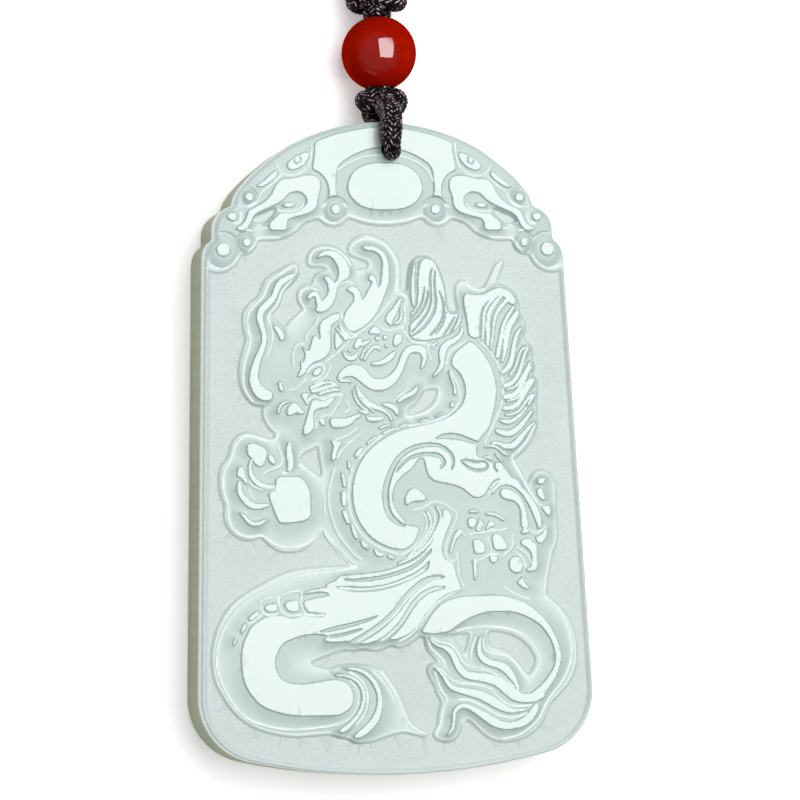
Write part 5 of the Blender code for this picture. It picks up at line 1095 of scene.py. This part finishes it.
cut = GROOVE_DEPTH * np.clip(-grooves / STEP_WIDTH, 0, 1)
depth = np.maximum(depth, cut)
ledge_and_highlight = np.exp(-(ledges / LEDGE_WIDTH) ** 2) * (foot < LEDGE_REACH)
lip = np.exp(-((foot + LIP_INSIDE) / LIP_WIDTH) ** 2) * ramp(rise / LIP_CLEAR)
depth = depth - np.minimum(np.maximum(LEDGE_RISE * ledge_and_highlight, LIP_RISE * lip), depth)
# Painted highlight: the ledges, and the lips more faintly, are painted near white for the light that their
# crests catch.
painted_highlight = np.maximum(ledge_and_highlight, LIP_SHINE * lip)


def read(field, x, y):
    """The map's value at places on the face, blended between its points."""
    i = np.clip((x - LEFT) / STEP, 0, COLUMNS - 1.001)
    j = np.clip((y - LOW) / STEP, 0, ROWS - 1.001)
    i0, j0 = i.astype(int), j.astype(int)
    u, v = i - i0, j - j0
    return ((1 - v) * ((1 - u) * field[j0, i0] + u * field[j0, i0 + 1])
            + v * ((1 - u) * field[j0 + 1, i0] + u * field[j0 + 1, i0 + 1]))


print("deepest", round(float(depth.max()), 2), "mm; mean depth", round(float(depth.mean()), 2))

# %% [markdown]
# The tablet's edge is an arch above, two small scallops at each shoulder, straight
# sides that spread downwards and a lower edge that is part of a large circle. Arcs
# give the round stretches, and the shoulders have a few points of their own.

# %% The outline
TOP, HEIGHT = tablet_high[1] / MM, (tablet_high[1] - tablet_low[1]) / MM
TOP_ARC_RADIUS = 20.5
LOW_ARC_RADIUS = 66.5
CORNER_ROUND = 6.5
EDGE_ROUND = 0.9
ARC_SHARE = 0.92            # of the arch's turn to the shoulder, where its arc stops
CORNER_START = math.radians(92)
SIDE_LOW = (20.2, -23.0)
SHOULDER = [(10.6, 31.25), (13.0, 29.4), (14.4, 28.0), (15.15, 27.0), (15.45, 26.2), (15.5, 25.9),
            (15.65, 25.75), (16.5, 25.4), (17.2, 24.7), (17.5, 23.9), (17.55, 23.0), (17.55, 22.5),
            (17.7, 22.3), (18.25, 21.85), (18.6, 21.0), (18.66, 19.6)]


def arc(center, radius, start, end, count):
    steps = np.linspace(start, end, count + 1)
    return [(center[0] + radius * math.sin(a), center[1] + radius * math.cos(a)) for a in steps]


def outline():
    reach = math.asin(SHOULDER[0][0] / TOP_ARC_RADIUS) * ARC_SHARE
    half = arc((0, TOP - TOP_ARC_RADIUS), TOP_ARC_RADIUS, 0, reach, 40)
    half += [tuple(point) for point in soften(SHOULDER, False, 3)]
    half += list(zip(np.linspace(SHOULDER[-1][0], SIDE_LOW[0], 40)[1:-1],
                     np.linspace(SHOULDER[-1][1], SIDE_LOW[1], 40)[1:-1]))
    low_center = (0, TOP - HEIGHT + LOW_ARC_RADIUS)
    corner_x = SIDE_LOW[0] - CORNER_ROUND
    corner = (corner_x, low_center[1] - math.sqrt((LOW_ARC_RADIUS - CORNER_ROUND) ** 2 - corner_x ** 2))
    lean = math.atan2(corner_x, low_center[1] - corner[1])
    half += arc(corner, CORNER_ROUND, CORNER_START, math.pi - lean, 30)
    half += arc(low_center, LOW_ARC_RADIUS, math.pi - lean, math.pi, 40)[1:]
    return np.array((half + mirror(half[-2:0:-1]))[::-1])


rim_line = outline()
edge = area(rim_line, 0, RIM_REACH)
print("outline of", len(rim_line), "points")

# %% [markdown]
# The face starts as a fine grid. Faces outside the outline go, and the rim's points
# move onto it. Each point then drops by the map and by the edge's rounding. The
# open rim is extruded down the wall and round the back edge, and the back is filled.
# A Decimate modifier keeps points where the carving needs them, a Boolean modifier
# drills the cord hole, and Weighted Normal lets the large flat faces set the shading
# of the small ones beside them, so that a polished top shows no streaks.

# %% The carved tablet
FACE_TRIANGLES = 192000
BACK_RINGS = 5
BACK_INSET = 0.6 * EDGE_ROUND
RIM_CLEAR = 0.8             # the carving fades out this near to the rim
RIM_MERGE = 0.02            # rim points nearer than this become one
SHARP_ANGLE = math.radians(24)
FROST_RUN = 0.12            # how fast the frosted ground begins beyond the foot line
FACE_SPARE = 0.3            # how far under the carving a point still counts as face


def nearest_on(line, x, y):
    runs = np.roll(line, -1, axis=0) - line
    share = np.clip((((x, y) - line) * runs).sum(axis=1) / (runs ** 2).sum(axis=1), 0, 1)
    feet = line + share[:, None] * runs
    return feet[np.argmin(((feet - (x, y)) ** 2).sum(axis=1))]


def carve():
    bm = bmesh.new()
    bmesh.ops.create_grid(bm, x_segments=COLUMNS - 1, y_segments=ROWS - 1, size=0.5)
    wide, tall = (COLUMNS - 1) * STEP, (ROWS - 1) * STEP
    bmesh.ops.transform(bm, verts=bm.verts, matrix=Matrix.Translation((LEFT + wide / 2, LOW + tall / 2, 0))
                        @ Matrix.Diagonal((wide, tall, 1, 1)))
    centers = np.array([face.calc_center_median()[:2] for face in bm.faces])
    outside = read(edge, centers[:, 0], centers[:, 1]) > 0
    bmesh.ops.delete(bm, geom=[face for face, out in zip(bm.faces, outside) if out], context="FACES")
    rim = [vertex for vertex in bm.verts if vertex.is_boundary]
    for vertex in rim:
        vertex.co.x, vertex.co.y = nearest_on(rim_line, vertex.co.x, vertex.co.y)
    bmesh.ops.remove_doubles(bm, verts=rim, dist=RIM_MERGE)
    places = np.array([vertex.co[:2] for vertex in bm.verts])
    margin = np.clip(-read(edge, places[:, 0], places[:, 1]), 0, EDGE_ROUND)
    margin[[vertex.is_boundary for vertex in bm.verts]] = 0
    drop = EDGE_ROUND - np.sqrt(EDGE_ROUND ** 2 - (EDGE_ROUND - margin) ** 2)
    drop += read(depth, places[:, 0], places[:, 1]) * ramp(margin / RIM_CLEAR)
    for vertex, down in zip(bm.verts, drop):
        vertex.co.z = FACE - down
    for ring in range(BACK_RINGS + 1):
        angle = math.pi / 2 * ring / BACK_RINGS
        lower_rim(bm, EDGE_ROUND * (1 - math.sin(angle)), BACK_INSET, angle)
    put_in_order(bm)
    bmesh.ops.contextual_create(bm, geom=[side for side in bm.edges if side.is_boundary])
    bmesh.ops.triangulate(bm, faces=bm.faces)
    bmesh.ops.recalc_face_normals(bm, faces=bm.faces)
    bmesh.ops.scale(bm, verts=bm.verts, vec=(MM, MM, MM))
    return bm


def lower_rim(bm, height, inset, angle):
    """Extrude the open rim down to a height, drawn in by its share of the inset."""
    made = bmesh.ops.extrude_edge_only(bm, edges=[side for side in bm.edges if side.is_boundary])["geom"]
    last = inset * (1 - math.cos(max(angle - math.pi / 2 / BACK_RINGS, 0)))
    step = inset * (1 - math.cos(angle)) - last
    for vertex in [item for item in made if isinstance(item, bmesh.types.BMVert)]:
        inward = Vector((0, TOP - HEIGHT / 2)) - vertex.co.xy
        vertex.co.xy += inward.normalized() * step
        vertex.co.z = height


def put_in_order(bm):
    """Sort edges and faces by their points, because extruding orders them anew in each run."""
    bm.verts.index_update()
    count = len(bm.verts)

    def rank(part):
        places = sorted(vertex.index for vertex in part.verts)
        return (places[0] * count + places[1]) * count + places[-1]

    bm.edges.sort(key=rank)
    bm.faces.sort(key=rank)


def new_piece(name, bm, finish):
    mesh = bpy.data.meshes.new(name)
    bm.to_mesh(mesh)
    bm.free()
    piece = bpy.data.objects.new(name, mesh)
    bpy.context.scene.collection.objects.link(piece)
    mesh.materials.append(finish.material)
    mesh.shade_smooth()
    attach(piece, "root")
    return piece


def settle(piece):
    """Turn a piece's modifiers into its mesh."""
    mesh = bpy.data.meshes.new_from_object(piece.evaluated_get(bpy.context.evaluated_depsgraph_get()))
    piece.modifiers.clear()
    piece.data = mesh


def note(mesh, name, values):
    """Keep one number for each point of a mesh, for a material to read."""
    kept = mesh.attributes.new(name, "FLOAT", "POINT")
    kept.data.foreach_set("value", np.asarray(values, dtype=np.float32))


def points_of(mesh):
    flat = np.empty(len(mesh.vertices) * 3)
    mesh.vertices.foreach_get("co", flat)
    return flat.reshape(-1, 3) / MM


jade = Finish("jade", Subsurface_Weight=0.15, Subsurface_Scale=0.7 * MM, IOR=1.6)
jade.shader.inputs["Subsurface Radius"].default_value = (0.8, 1.0, 0.85)
carved = carve()
before = len(carved.faces)
tablet = new_piece("carved_tablet", carved, jade)
HOLE_DIAMETER = 2.0
DRILL_SPARE = 6.0           # how much longer the cutter is than the hole
HOLE_IN_FACE = (0.75, TOP - 2.9, FACE)
HOLE_IN_EDGE = (0.5, TOP, 4.0)


def drill():
    """The cutter for the cord hole, which runs aslant from the face to the top edge."""
    a, b = Vector(HOLE_IN_FACE), Vector(HOLE_IN_EDGE)
    bm = bmesh.new()
    radius = HOLE_DIAMETER / 2
    bmesh.ops.create_cone(bm, cap_ends=True, segments=64, radius1=radius, radius2=radius,
                          depth=(b - a).length + DRILL_SPARE)
    bmesh.ops.transform(bm, verts=bm.verts, matrix=Matrix.Scale(MM, 4) @ Matrix.Translation((a + b) / 2)
                        @ (b - a).to_track_quat("Z", "Y").to_matrix().to_4x4())
    mesh = bpy.data.meshes.new("drill")
    bm.to_mesh(mesh)
    bm.free()
    cutter = bpy.data.objects.new("drill", mesh)
    bpy.context.scene.collection.objects.link(cutter)
    return cutter


fewer = tablet.modifiers.new("fewer", "DECIMATE")
fewer.ratio = FACE_TRIANGLES / before
cutter = drill()
hole = tablet.modifiers.new("cord hole", "BOOLEAN")
hole.object = cutter
hole.operation = "DIFFERENCE"
settle(tablet)
tablet.data.set_sharp_from_angle(angle=SHARP_ANGLE)
even_shade = tablet.modifiers.new("even shade", "WEIGHTED_NORMAL")
even_shade.keep_sharp = True
settle(tablet)
bpy.data.objects.remove(cutter)
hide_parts("jade_tablet")
spots = points_of(tablet.data)
on_face = spots[:, 2] > FACE - EDGE_ROUND - DEPTH - FACE_SPARE
note(tablet.data, "frost", np.where(on_face, read(ramp(foot / FROST_RUN), spots[:, 0], spots[:, 1]), 0))
# This attribute carries the painted highlight of the ledges and lips.
note(tablet.data, "ledge_and_highlight", np.where(on_face, read(painted_highlight, spots[:, 0], spots[:, 1]), 0))
print("tablet:", before, "triangles before,", len(tablet.data.polygons), "after")

# %% [markdown]
# The jade is pale and a little see-through, so light bleeds through its edges. The
# carved tops and sides are polished, and the ground was left frosted by the burr.
# The height over the back tells where the tops are, and two attributes of the mesh
# mark the frosted ground and the thin ledges. Some light and shade is painted into the
# colour: painted shade darkens the sides, and the wall is painted a darker olive for
# its shade and the light seen through the thick stone; painted light lifts the sides
# towards the foot and the rounded edge; a painted highlight runs along ledges and lips.

# %% The jade's finish
TOP_COLOR = paint(203, 219, 216)
# Painted shade: the sides are painted darker than the tops, for the dark room that their polish mirrors.
SLOPE_SHADE_COLOR = paint(173, 193, 188)
# Painted light: the sides are painted lighter towards the foot, which evens out their shade there.
LOW_SLOPE_LIGHT_COLOR = paint(202, 219, 214)
GROUND_COLOR = paint(186, 200, 197)
GROUND_SPECKLE = paint(200, 212, 209)
# Painted shade: the wall is painted a darker olive, which also stands in for light seen through the thick
# stone.
WALL_SHADE_COLOR = paint(143, 152, 116)
# Painted light: the rounded edge of the face is painted near white against its shade.
EDGE_LIGHT_COLOR = paint(244, 253, 251)
# Painted highlight: the near white that the ledges and lips are painted.
LEDGE_HIGHLIGHT_COLOR = paint(240, 250, 249)
CLOUD_COLOR = paint(226, 236, 230)
WALL_CLOUD = paint(160, 168, 138)
height = jade.node("ShaderNodeSeparateXYZ", {}, {"Vector": jade.place()}, output=2)


def near_tops(low, high):
    """0 at one depth under the tops, and 1 from a smaller depth up."""
    return height.ramp((FACE - low) * MM, (FACE - high) * MM)


top = near_tops(0.08, 0.02)
ledge_and_highlight = jade.attribute("ledge_and_highlight")
edge_share = 1 - near_tops(DEPTH + 0.13, DEPTH + 0.01)
wall = 1 - near_tops(2.6, 1.2)
cloud = jade.noise(90.0, 4.0, 0.55).ramp(0.35, 0.7)
ground = jade.attribute("frost")
speckle = jade.noise(5200.0, 2.0, 0.6).ramp(0.3, 0.7)
ground_color = jade.blend(speckle, GROUND_COLOR, GROUND_SPECKLE)
# Painted light and shade on the sides: darker near the tops, lighter towards the foot.
low_slope_lift = 1 - near_tops(SIDE_DEPTH, STEP_DEPTH + 0.05)
painted_slope_shading = jade.blend(low_slope_lift, SLOPE_SHADE_COLOR, LOW_SLOPE_LIGHT_COLOR)
carved_color = jade.blend(ground, painted_slope_shading, ground_color)
# Painted light on the rounded edge.
carved_color = jade.blend(edge_share, carved_color, EDGE_LIGHT_COLOR)
# Painted highlight on the ledges and lips.
carved_color = jade.blend(ledge_and_highlight, carved_color, LEDGE_HIGHLIGHT_COLOR)
carved_color = jade.blend(top, carved_color, TOP_COLOR)
carved_color = jade.blend(cloud * 0.12, carved_color, CLOUD_COLOR)
# The wall's painted shade, mottled by the cloud.
wall_color = jade.blend(cloud * 0.3, WALL_SHADE_COLOR, WALL_CLOUD)
jade.set(Base_Color=jade.blend(wall, carved_color, wall_color))
frosted = ground * (1 - top) * (1 - edge_share)
jade.set(Roughness=0.36 - top * 0.23 + frosted * 0.12 + edge_share * 0.2)
jade.bump(jade.noise(2600.0, 3.0, 0.6) * frosted, 0.35, 0.06 * MM)
print("jade: polished tops, frosted ground, olive wall")

# %% [markdown]
# The bead is a ball of red agate, drilled through and polished. Its gloss could
# mirror the white floor all round the rim, but the real one stays deep red there, so
# Layer Weight takes the gloss away towards the rim. It is turned: a half circle that
# stops at the bore's mouth is spun round the string, and the bore's wall closes it.

# %% The bead
bead_low, bead_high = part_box("agate_bead")
BEAD_MIDDLE = Vector([(a + b) / 2 for a, b in zip(bead_low, bead_high)])
BEAD_RADIUS = (bead_high[0] - bead_low[0]) / 2
BORE_RADIUS = 1.2 * MM
BORE_ROUND = 0.1 * MM
MOUTH_TURN = 0.05           # radians from the bore's own edge to where the ball begins


def turn_bead():
    bm = bmesh.new()
    start = math.asin(BORE_RADIUS / BEAD_RADIUS) + MOUTH_TURN
    angles = np.linspace(start, math.pi - start, 60)
    profile = [(BEAD_RADIUS * math.sin(a), BEAD_RADIUS * math.cos(a)) for a in angles]
    mouth = BEAD_RADIUS * math.cos(start) - BORE_ROUND
    profile += [(BORE_RADIUS, -mouth), (BORE_RADIUS, mouth)]
    spun = [bm.verts.new((0, along, radius)) for radius, along in profile]
    edges = [bm.edges.new(pair) for pair in zip(spun, spun[1:] + spun[:1])]
    bmesh.ops.spin(bm, geom=spun + edges, axis=(0, 1, 0), cent=(0, 0, 0), angle=2 * math.pi, steps=120,
                   use_merge=True)
    bmesh.ops.remove_doubles(bm, verts=bm.verts, dist=0.001 * MM)
    bmesh.ops.translate(bm, verts=bm.verts, vec=BEAD_MIDDLE)
    bmesh.ops.recalc_face_normals(bm, faces=bm.faces)
    return bm


agate = Finish("red_agate", Roughness=0.3, Specular_IOR_Level=0.0, Coat_Roughness=0.02, Coat_IOR=2.0,
               Subsurface_Weight=0.2, Subsurface_Scale=1.5 * MM)
agate.shader.inputs["Subsurface Radius"].default_value = (1.0, 0.06, 0.02)
bead = new_piece("polished_bead", turn_bead(), agate)
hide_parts("agate_bead")
vein = agate.noise(420.0, 5.0, 0.6).ramp(0.35, 0.75)
agate.set(Base_Color=agate.blend(vein, paint(150, 22, 5), paint(166, 30, 7)))
toward_rim = agate.node("ShaderNodeLayerWeight", {}, {"Blend": 0.5}, output="Facing")
agate.set(Coat_Weight=1 - toward_rim.ramp(0.06, 0.22))
print("bead:", len(bead.data.polygons), "faces")

# %% [markdown]
# The string is a round braid of dark, slightly shiny threads. A swept tube is the
# plain way to make it: a circle is extruded along the route, and each ring keeps
# its heading from the last, so that the tube never twists. Where the braid shows
# close up, the ring's points ride up and down on the crossing strands.

# %% Swept cords
CORD_RADIUS = 1.1 * MM
PLAIT = 0.46 * MM                # along the cord from one stitch to the next
COLUMNS_ROUND = 5                # pairs of stitch columns round the cord
BRAID_RISE = 0.06 * MM


def smooth_route(points, spacing):
    """Points at an even spacing on the smooth curve through a few chosen ones."""
    chosen = [Vector(point) for point in points]
    ends = [chosen[0] * 2 - chosen[1]] + chosen + [chosen[-1] * 2 - chosen[-2]]
    fine = []
    for a, b, c, d in zip(ends, ends[1:], ends[2:], ends[3:]):
        for t in np.linspace(0, 1, 24, endpoint=False):
            fine.append(0.5 * (2 * b + (c - a) * t + (2 * a - 5 * b + 4 * c - d) * t * t
                               + (3 * b - a - 3 * c + d) * t ** 3))
    fine.append(chosen[-1])
    return even(fine, spacing)


def even(fine, spacing):
    walk = np.cumsum([0] + [(b - a).length for a, b in zip(fine, fine[1:])])
    count = max(int(round(walk[-1] / spacing)), 2)
    table = np.array(fine)
    marks = np.linspace(0, walk[-1], count + 1)
    return [Vector([np.interp(mark, walk, table[:, axis]) for axis in range(3)]) for mark in marks]


def route_length(route):
    return sum((b - a).length for a, b in zip(route, route[1:]))


def sweep(bm, route, radius=CORD_RADIUS, sides=28, braided=True, width=None):
    """Extrude a circle along a route, with the braid's rise and its UV map."""
    layer = bm.loops.layers.uv.verify()
    ring = bmesh.ops.create_circle(bm, cap_ends=True, segments=sides, radius=radius)["verts"]
    heading = Vector((0, 0, 1))
    across = Vector((1, 0, 0))
    walked = 0.0
    cap = ring[0].link_faces[0]
    edges = list(cap.edges)
    previous = None
    for k, place in enumerate(route):
        ahead = (route[min(k + 1, len(route) - 1)] - route[max(k - 1, 0)]).normalized()
        across = (heading.rotation_difference(ahead) @ across).normalized()
        heading = ahead
        up = heading.cross(across)
        if k:
            walked += (place - route[k - 1]).length
            made = bmesh.ops.extrude_edge_only(bm, edges=edges)["geom"]
            fresh = {item for item in made if isinstance(item, bmesh.types.BMVert)}
            edges = [item for item in made if isinstance(item, bmesh.types.BMEdge)
                     and item.verts[0] in fresh and item.verts[1] in fresh]
            ring = [next(side.other_vert(vertex) for side in vertex.link_edges
                         if side.other_vert(vertex) in fresh) for vertex in ring]
        girth = width(k / (len(route) - 1)) if width else 1.0
        for i, vertex in enumerate(ring):
            angle = 2 * math.pi * i / sides
            rise = 0.0
            if braided:
                lean = 0.5 * math.cos(COLUMNS_ROUND * angle)
                rise = BRAID_RISE * math.cos(2 * math.pi * (walked / PLAIT + lean))
            out = radius * girth + rise
            vertex.co = place + (across * math.cos(angle) + up * math.sin(angle)) * out
        if previous:
            for i, vertex in enumerate(ring):
                after = (i + 1) % sides
                corners = {previous[0][i]: (i, previous[1]), ring[i]: (i, walked),
                           previous[0][after]: (i + 1, previous[1]), ring[after]: (i + 1, walked)}
                for face in vertex.link_faces:
                    if len(face.loops) == 4 and all(corner.vert in corners for corner in face.loops):
                        for corner in face.loops:
                            turn_share, along = corners[corner.vert]
                            corner[layer].uv = (turn_share / sides, along / PLAIT)
        previous = (ring, walked)
    bmesh.ops.contextual_create(bm, geom=edges)
    return bm


def make_braid():
    braid = Finish("braid", Specular_IOR_Level=0.14, IOR=1.5)
    uv = braid.node("ShaderNodeUVMap")
    around = braid.node("ShaderNodeSeparateXYZ", {}, {"Vector": uv}, output=0)
    along = braid.node("ShaderNodeSeparateXYZ", {}, {"Vector": uv}, output=1)
    column = braid.wave(around * COLUMNS_ROUND)
    stitch = braid.wave(along + column * 0.5)
    border = (column * column).ramp(0.75, 1.0)
    thread = braid.wave(around * COLUMNS_ROUND * 7 + along * 0.5)
    # Painted highlight: bright glints are painted on scattered stitch crowns, where the threads would catch
    # the light.
    lit = braid.noise(2600.0, 2.0).ramp(0.44, 0.60) * braid.noise(700.0, 2.0).ramp(0.28, 0.52)
    glint = stitch.ramp(0.15, 0.8) * (1 - border) * lit * (0.7 + thread * 0.3)
    dark, middle, light = paint(3, 2, 3), paint(25, 16, 21), paint(255, 222, 234)
    # Painted shade: the stitches are painted lighter on their crowns and darker between them.
    painted_stitch_shade = braid.blend(stitch.ramp(-0.4, 1.0), dark, middle)
    braid.set(Base_Color=braid.blend(glint, painted_stitch_shade, light), Roughness=0.6 - 0.2 * glint)
    braid.bump(stitch * 0.5 + thread * 0.12 - border * 0.4, 0.7, 0.1 * MM)
    return braid


braid = make_braid()
print("braid: one stitch is", round(PLAIT / MM, 2), "mm long")

# %% [markdown]
# The necklace cord is about 0.6 m long. It leaves the upper knot as two strands,
# and the photograph shows none of it, so it is put away as for storage: it lies
# down on the surface, goes into a neat coil of six and a half turns and comes back
# to the knot. Three turns lie beside each other, three on those and the last on top.

# %% The necklace cord
knot_low, knot_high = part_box("upper_knot")
KNOT_MIDDLE = Vector([(a + b) / 2 for a, b in zip(knot_low, knot_high)])
coil_low, coil_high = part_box("cord_coil")
COIL_MIDDLE = Vector([(a + b) / 2 for a, b in zip(coil_low, coil_high)])
OUTER_TURN = (coil_high[0] - coil_low[0]) / 2 - CORD_RADIUS - 0.3 * MM
PITCH = 2 * CORD_RADIUS
ENTRY_ANGLE = math.radians(222)
TURNS = 6.42
TURN_POINTS = 20
STEPS_IN = ((0.7, 0.9, -1), (1.7, 1.9, -1), (3.55, 3.75, 1), (4.45, 4.65, 1))     # turns, and which way
STEPS_UP = ((2.62, 2.82), (5.42, 5.6))
knot_end = knot_high[1]
string_x = KNOT_MIDDLE.x


def coil_point(t):
    radius = OUTER_TURN + PITCH * sum(way * ramp((t - a) / (b - a)) for a, b, way in STEPS_IN)
    height = CORD_RADIUS + PITCH * sum(ramp((t - a) / (b - a)) for a, b in STEPS_UP)
    angle = ENTRY_ANGLE - 2 * math.pi * t
    return Vector((COIL_MIDDLE.x + radius * math.cos(angle),
                   COIL_MIDDLE.y + radius * math.sin(angle), height))


def beside_knot(right, beyond, height):
    return Vector((string_x + right * MM, knot_end + beyond * MM, height * MM))


def beside_coil(degrees, radius, height):
    angle = math.radians(degrees)
    return COIL_MIDDLE.xy.to_3d() + Vector((radius * math.cos(angle), radius * math.sin(angle), height)) * MM


strand_out = [beside_knot(-1.2, -1.2, 3.4), beside_knot(-1.35, 0.6, 3.3), beside_knot(-1.7, 2.3, 2.6),
              beside_knot(-3.0, 4.9, 1.4), beside_knot(-4.6, 6.8, 1.1), beside_knot(-7.4, 9.8, 1.1)]
strand_back = [beside_coil(50, 16.6, 5.0), beside_coil(25, 17.6, 3.4), beside_coil(0, 17.5, 1.8),
               beside_coil(-25, 17.3, 1.1), beside_coil(-50, 17.4, 1.1), beside_knot(4.6, 6.8, 1.1),
               beside_knot(3.0, 4.9, 1.4), beside_knot(1.7, 2.3, 2.6), beside_knot(1.35, 0.6, 3.3),
               beside_knot(1.2, -1.2, 3.4)]
turns = [coil_point(TURNS * i / int(TURNS * TURN_POINTS)) for i in range(int(TURNS * TURN_POINTS) + 1)]
necklace_route = smooth_route(strand_out + turns + strand_back, 0.8 * MM)
cord_mesh = bmesh.new()
sweep(cord_mesh, necklace_route, sides=16, braided=False)
necklace = new_piece("necklace_cord", cord_mesh, braid)
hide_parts("necklace_cord_left", "necklace_cord_right", "cord_coil")

# %% [markdown]
# From the lower knot one strand goes over the tablet's top edge and down into the
# hole in its face, and comes out of the top edge again. It is one short loop that
# the knot closes, and it is squeezed thinner where it turns down into the tight hole.

# %% The hanging loop
lower_low, lower_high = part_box("lower_knot")
LOWER_MIDDLE = Vector([(a + b) / 2 for a, b in zip(lower_low, lower_high)])
face_hole, edge_hole = Vector(HOLE_IN_FACE) * MM, Vector(HOLE_IN_EDGE) * MM
up_hole = (face_hole - edge_hole).normalized()
OVER_FACE = FACE * MM + CORD_RADIUS + 0.15 * MM


def by_hole(right, beyond, height):
    return Vector((right * MM, face_hole.y + beyond * MM, OVER_FACE + height * MM))


loop_points = [
    LOWER_MIDDLE + Vector((-0.3, -0.3, 0)) * MM,
    Vector((edge_hole.x, edge_hole.y + 0.55 * MM, edge_hole.z - 0.45 * MM)),
    Vector((edge_hole.x, edge_hole.y, edge_hole.z - 0.05 * MM)),
    edge_hole.lerp(face_hole, 0.3),
    edge_hole.lerp(face_hole, 0.75),
    face_hole + up_hole * 0.35 * MM,
    by_hole(0.58, -0.2, -0.05),
    by_hole(0.42, 0.45, 0.45),
    by_hole(0.42, 1.5, 0.4),
    Vector((0.5 * MM, edge_hole.y - 0.6 * MM, OVER_FACE)),
    Vector((0.7 * MM, edge_hole.y + 0.7 * MM, OVER_FACE - 1.0 * MM)),
    LOWER_MIDDLE + Vector((0.2, -0.2, 1.2)) * MM,
]
loop_route = smooth_route(loop_points, 0.09 * MM)
SQUEEZED = 0.70


def loop_girth(share):
    """Full near the knot at both ends, and thin inside the hole."""
    return 1 - (1 - SQUEEZED) * ramp((share - 0.05) / 0.12) * ramp((0.66 - share) / 0.16)


loop_mesh = bmesh.new()
sweep(loop_mesh, loop_route, sides=40, width=loop_girth)
hang_loop = new_piece("hanging_loop", loop_mesh, braid)
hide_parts("hang_loop")
print("hanging loop:", round(route_length(loop_route) / MM, 1), "mm of cord")

# %% [markdown]
# Each knot is the cord tied to itself. Rather than a lump with a braid painted on
# it, the same cord is swept along the curve of a real overhand knot, a trefoil: it
# passes over and under itself three times, and is pulled tight by a small scale.
# From knot to knot it runs through the bead, thinner in the bore than at its mouths.

# %% The knots


def tied(name, middle, right, along, up, node, thick):
    """An overhand knot round the string; a negative along turns its broad side down."""
    route = []
    for t in np.linspace(0.1, 2 * math.pi + 0.1, 73):
        route.append(middle + Vector((right * (math.sin(t) + 2 * math.sin(2 * t)),
                                      along * (math.cos(t) - 2 * math.cos(2 * t) + 0.37),
                                      -up * math.sin(3 * t))) * MM)
    mesh = bmesh.new()
    sweep(mesh, smooth_route(route, 0.1 * MM), radius=CORD_RADIUS * thick, sides=32)
    knot = new_piece(name, mesh, braid)
    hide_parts(node)


LOWER_TIED = LOWER_MIDDLE + Vector((0.22, -0.45, 0)) * MM
UPPER_TIED = KNOT_MIDDLE + Vector((0, 0.5, 0)) * MM
tied("tied_lower_knot", LOWER_TIED, 0.69, 0.42, 0.95, "lower_knot", 0.84)
tied("tied_upper_knot", UPPER_TIED, 0.86, -0.38, 1.1, "upper_knot", 0.86)

# %% The cord through the bead
CORE_FULL, CORE_IN_BORE = 1.41 * MM, 1.1 * MM
THIN_HALF = 3.4 * MM             # half the stretch that runs inside the bore
core_route = smooth_route([LOWER_MIDDLE, BEAD_MIDDLE, KNOT_MIDDLE], 0.1 * MM)
THIN_SHARE = THIN_HALF / (KNOT_MIDDLE - LOWER_MIDDLE).length


def core_girth(share):
    """Full against the knots, and thin inside the bead's bore."""
    return 1 - (1 - CORE_IN_BORE / CORE_FULL) * ramp((THIN_SHARE + 0.01 - abs(share - 0.5)) / 0.02)


core = bmesh.new()
sweep(core, core_route, radius=CORE_FULL, sides=36, width=core_girth)
bead_cord = new_piece("cord_in_bead", core, braid)
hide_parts("bead_cord")
print("two knots and the cord between them")
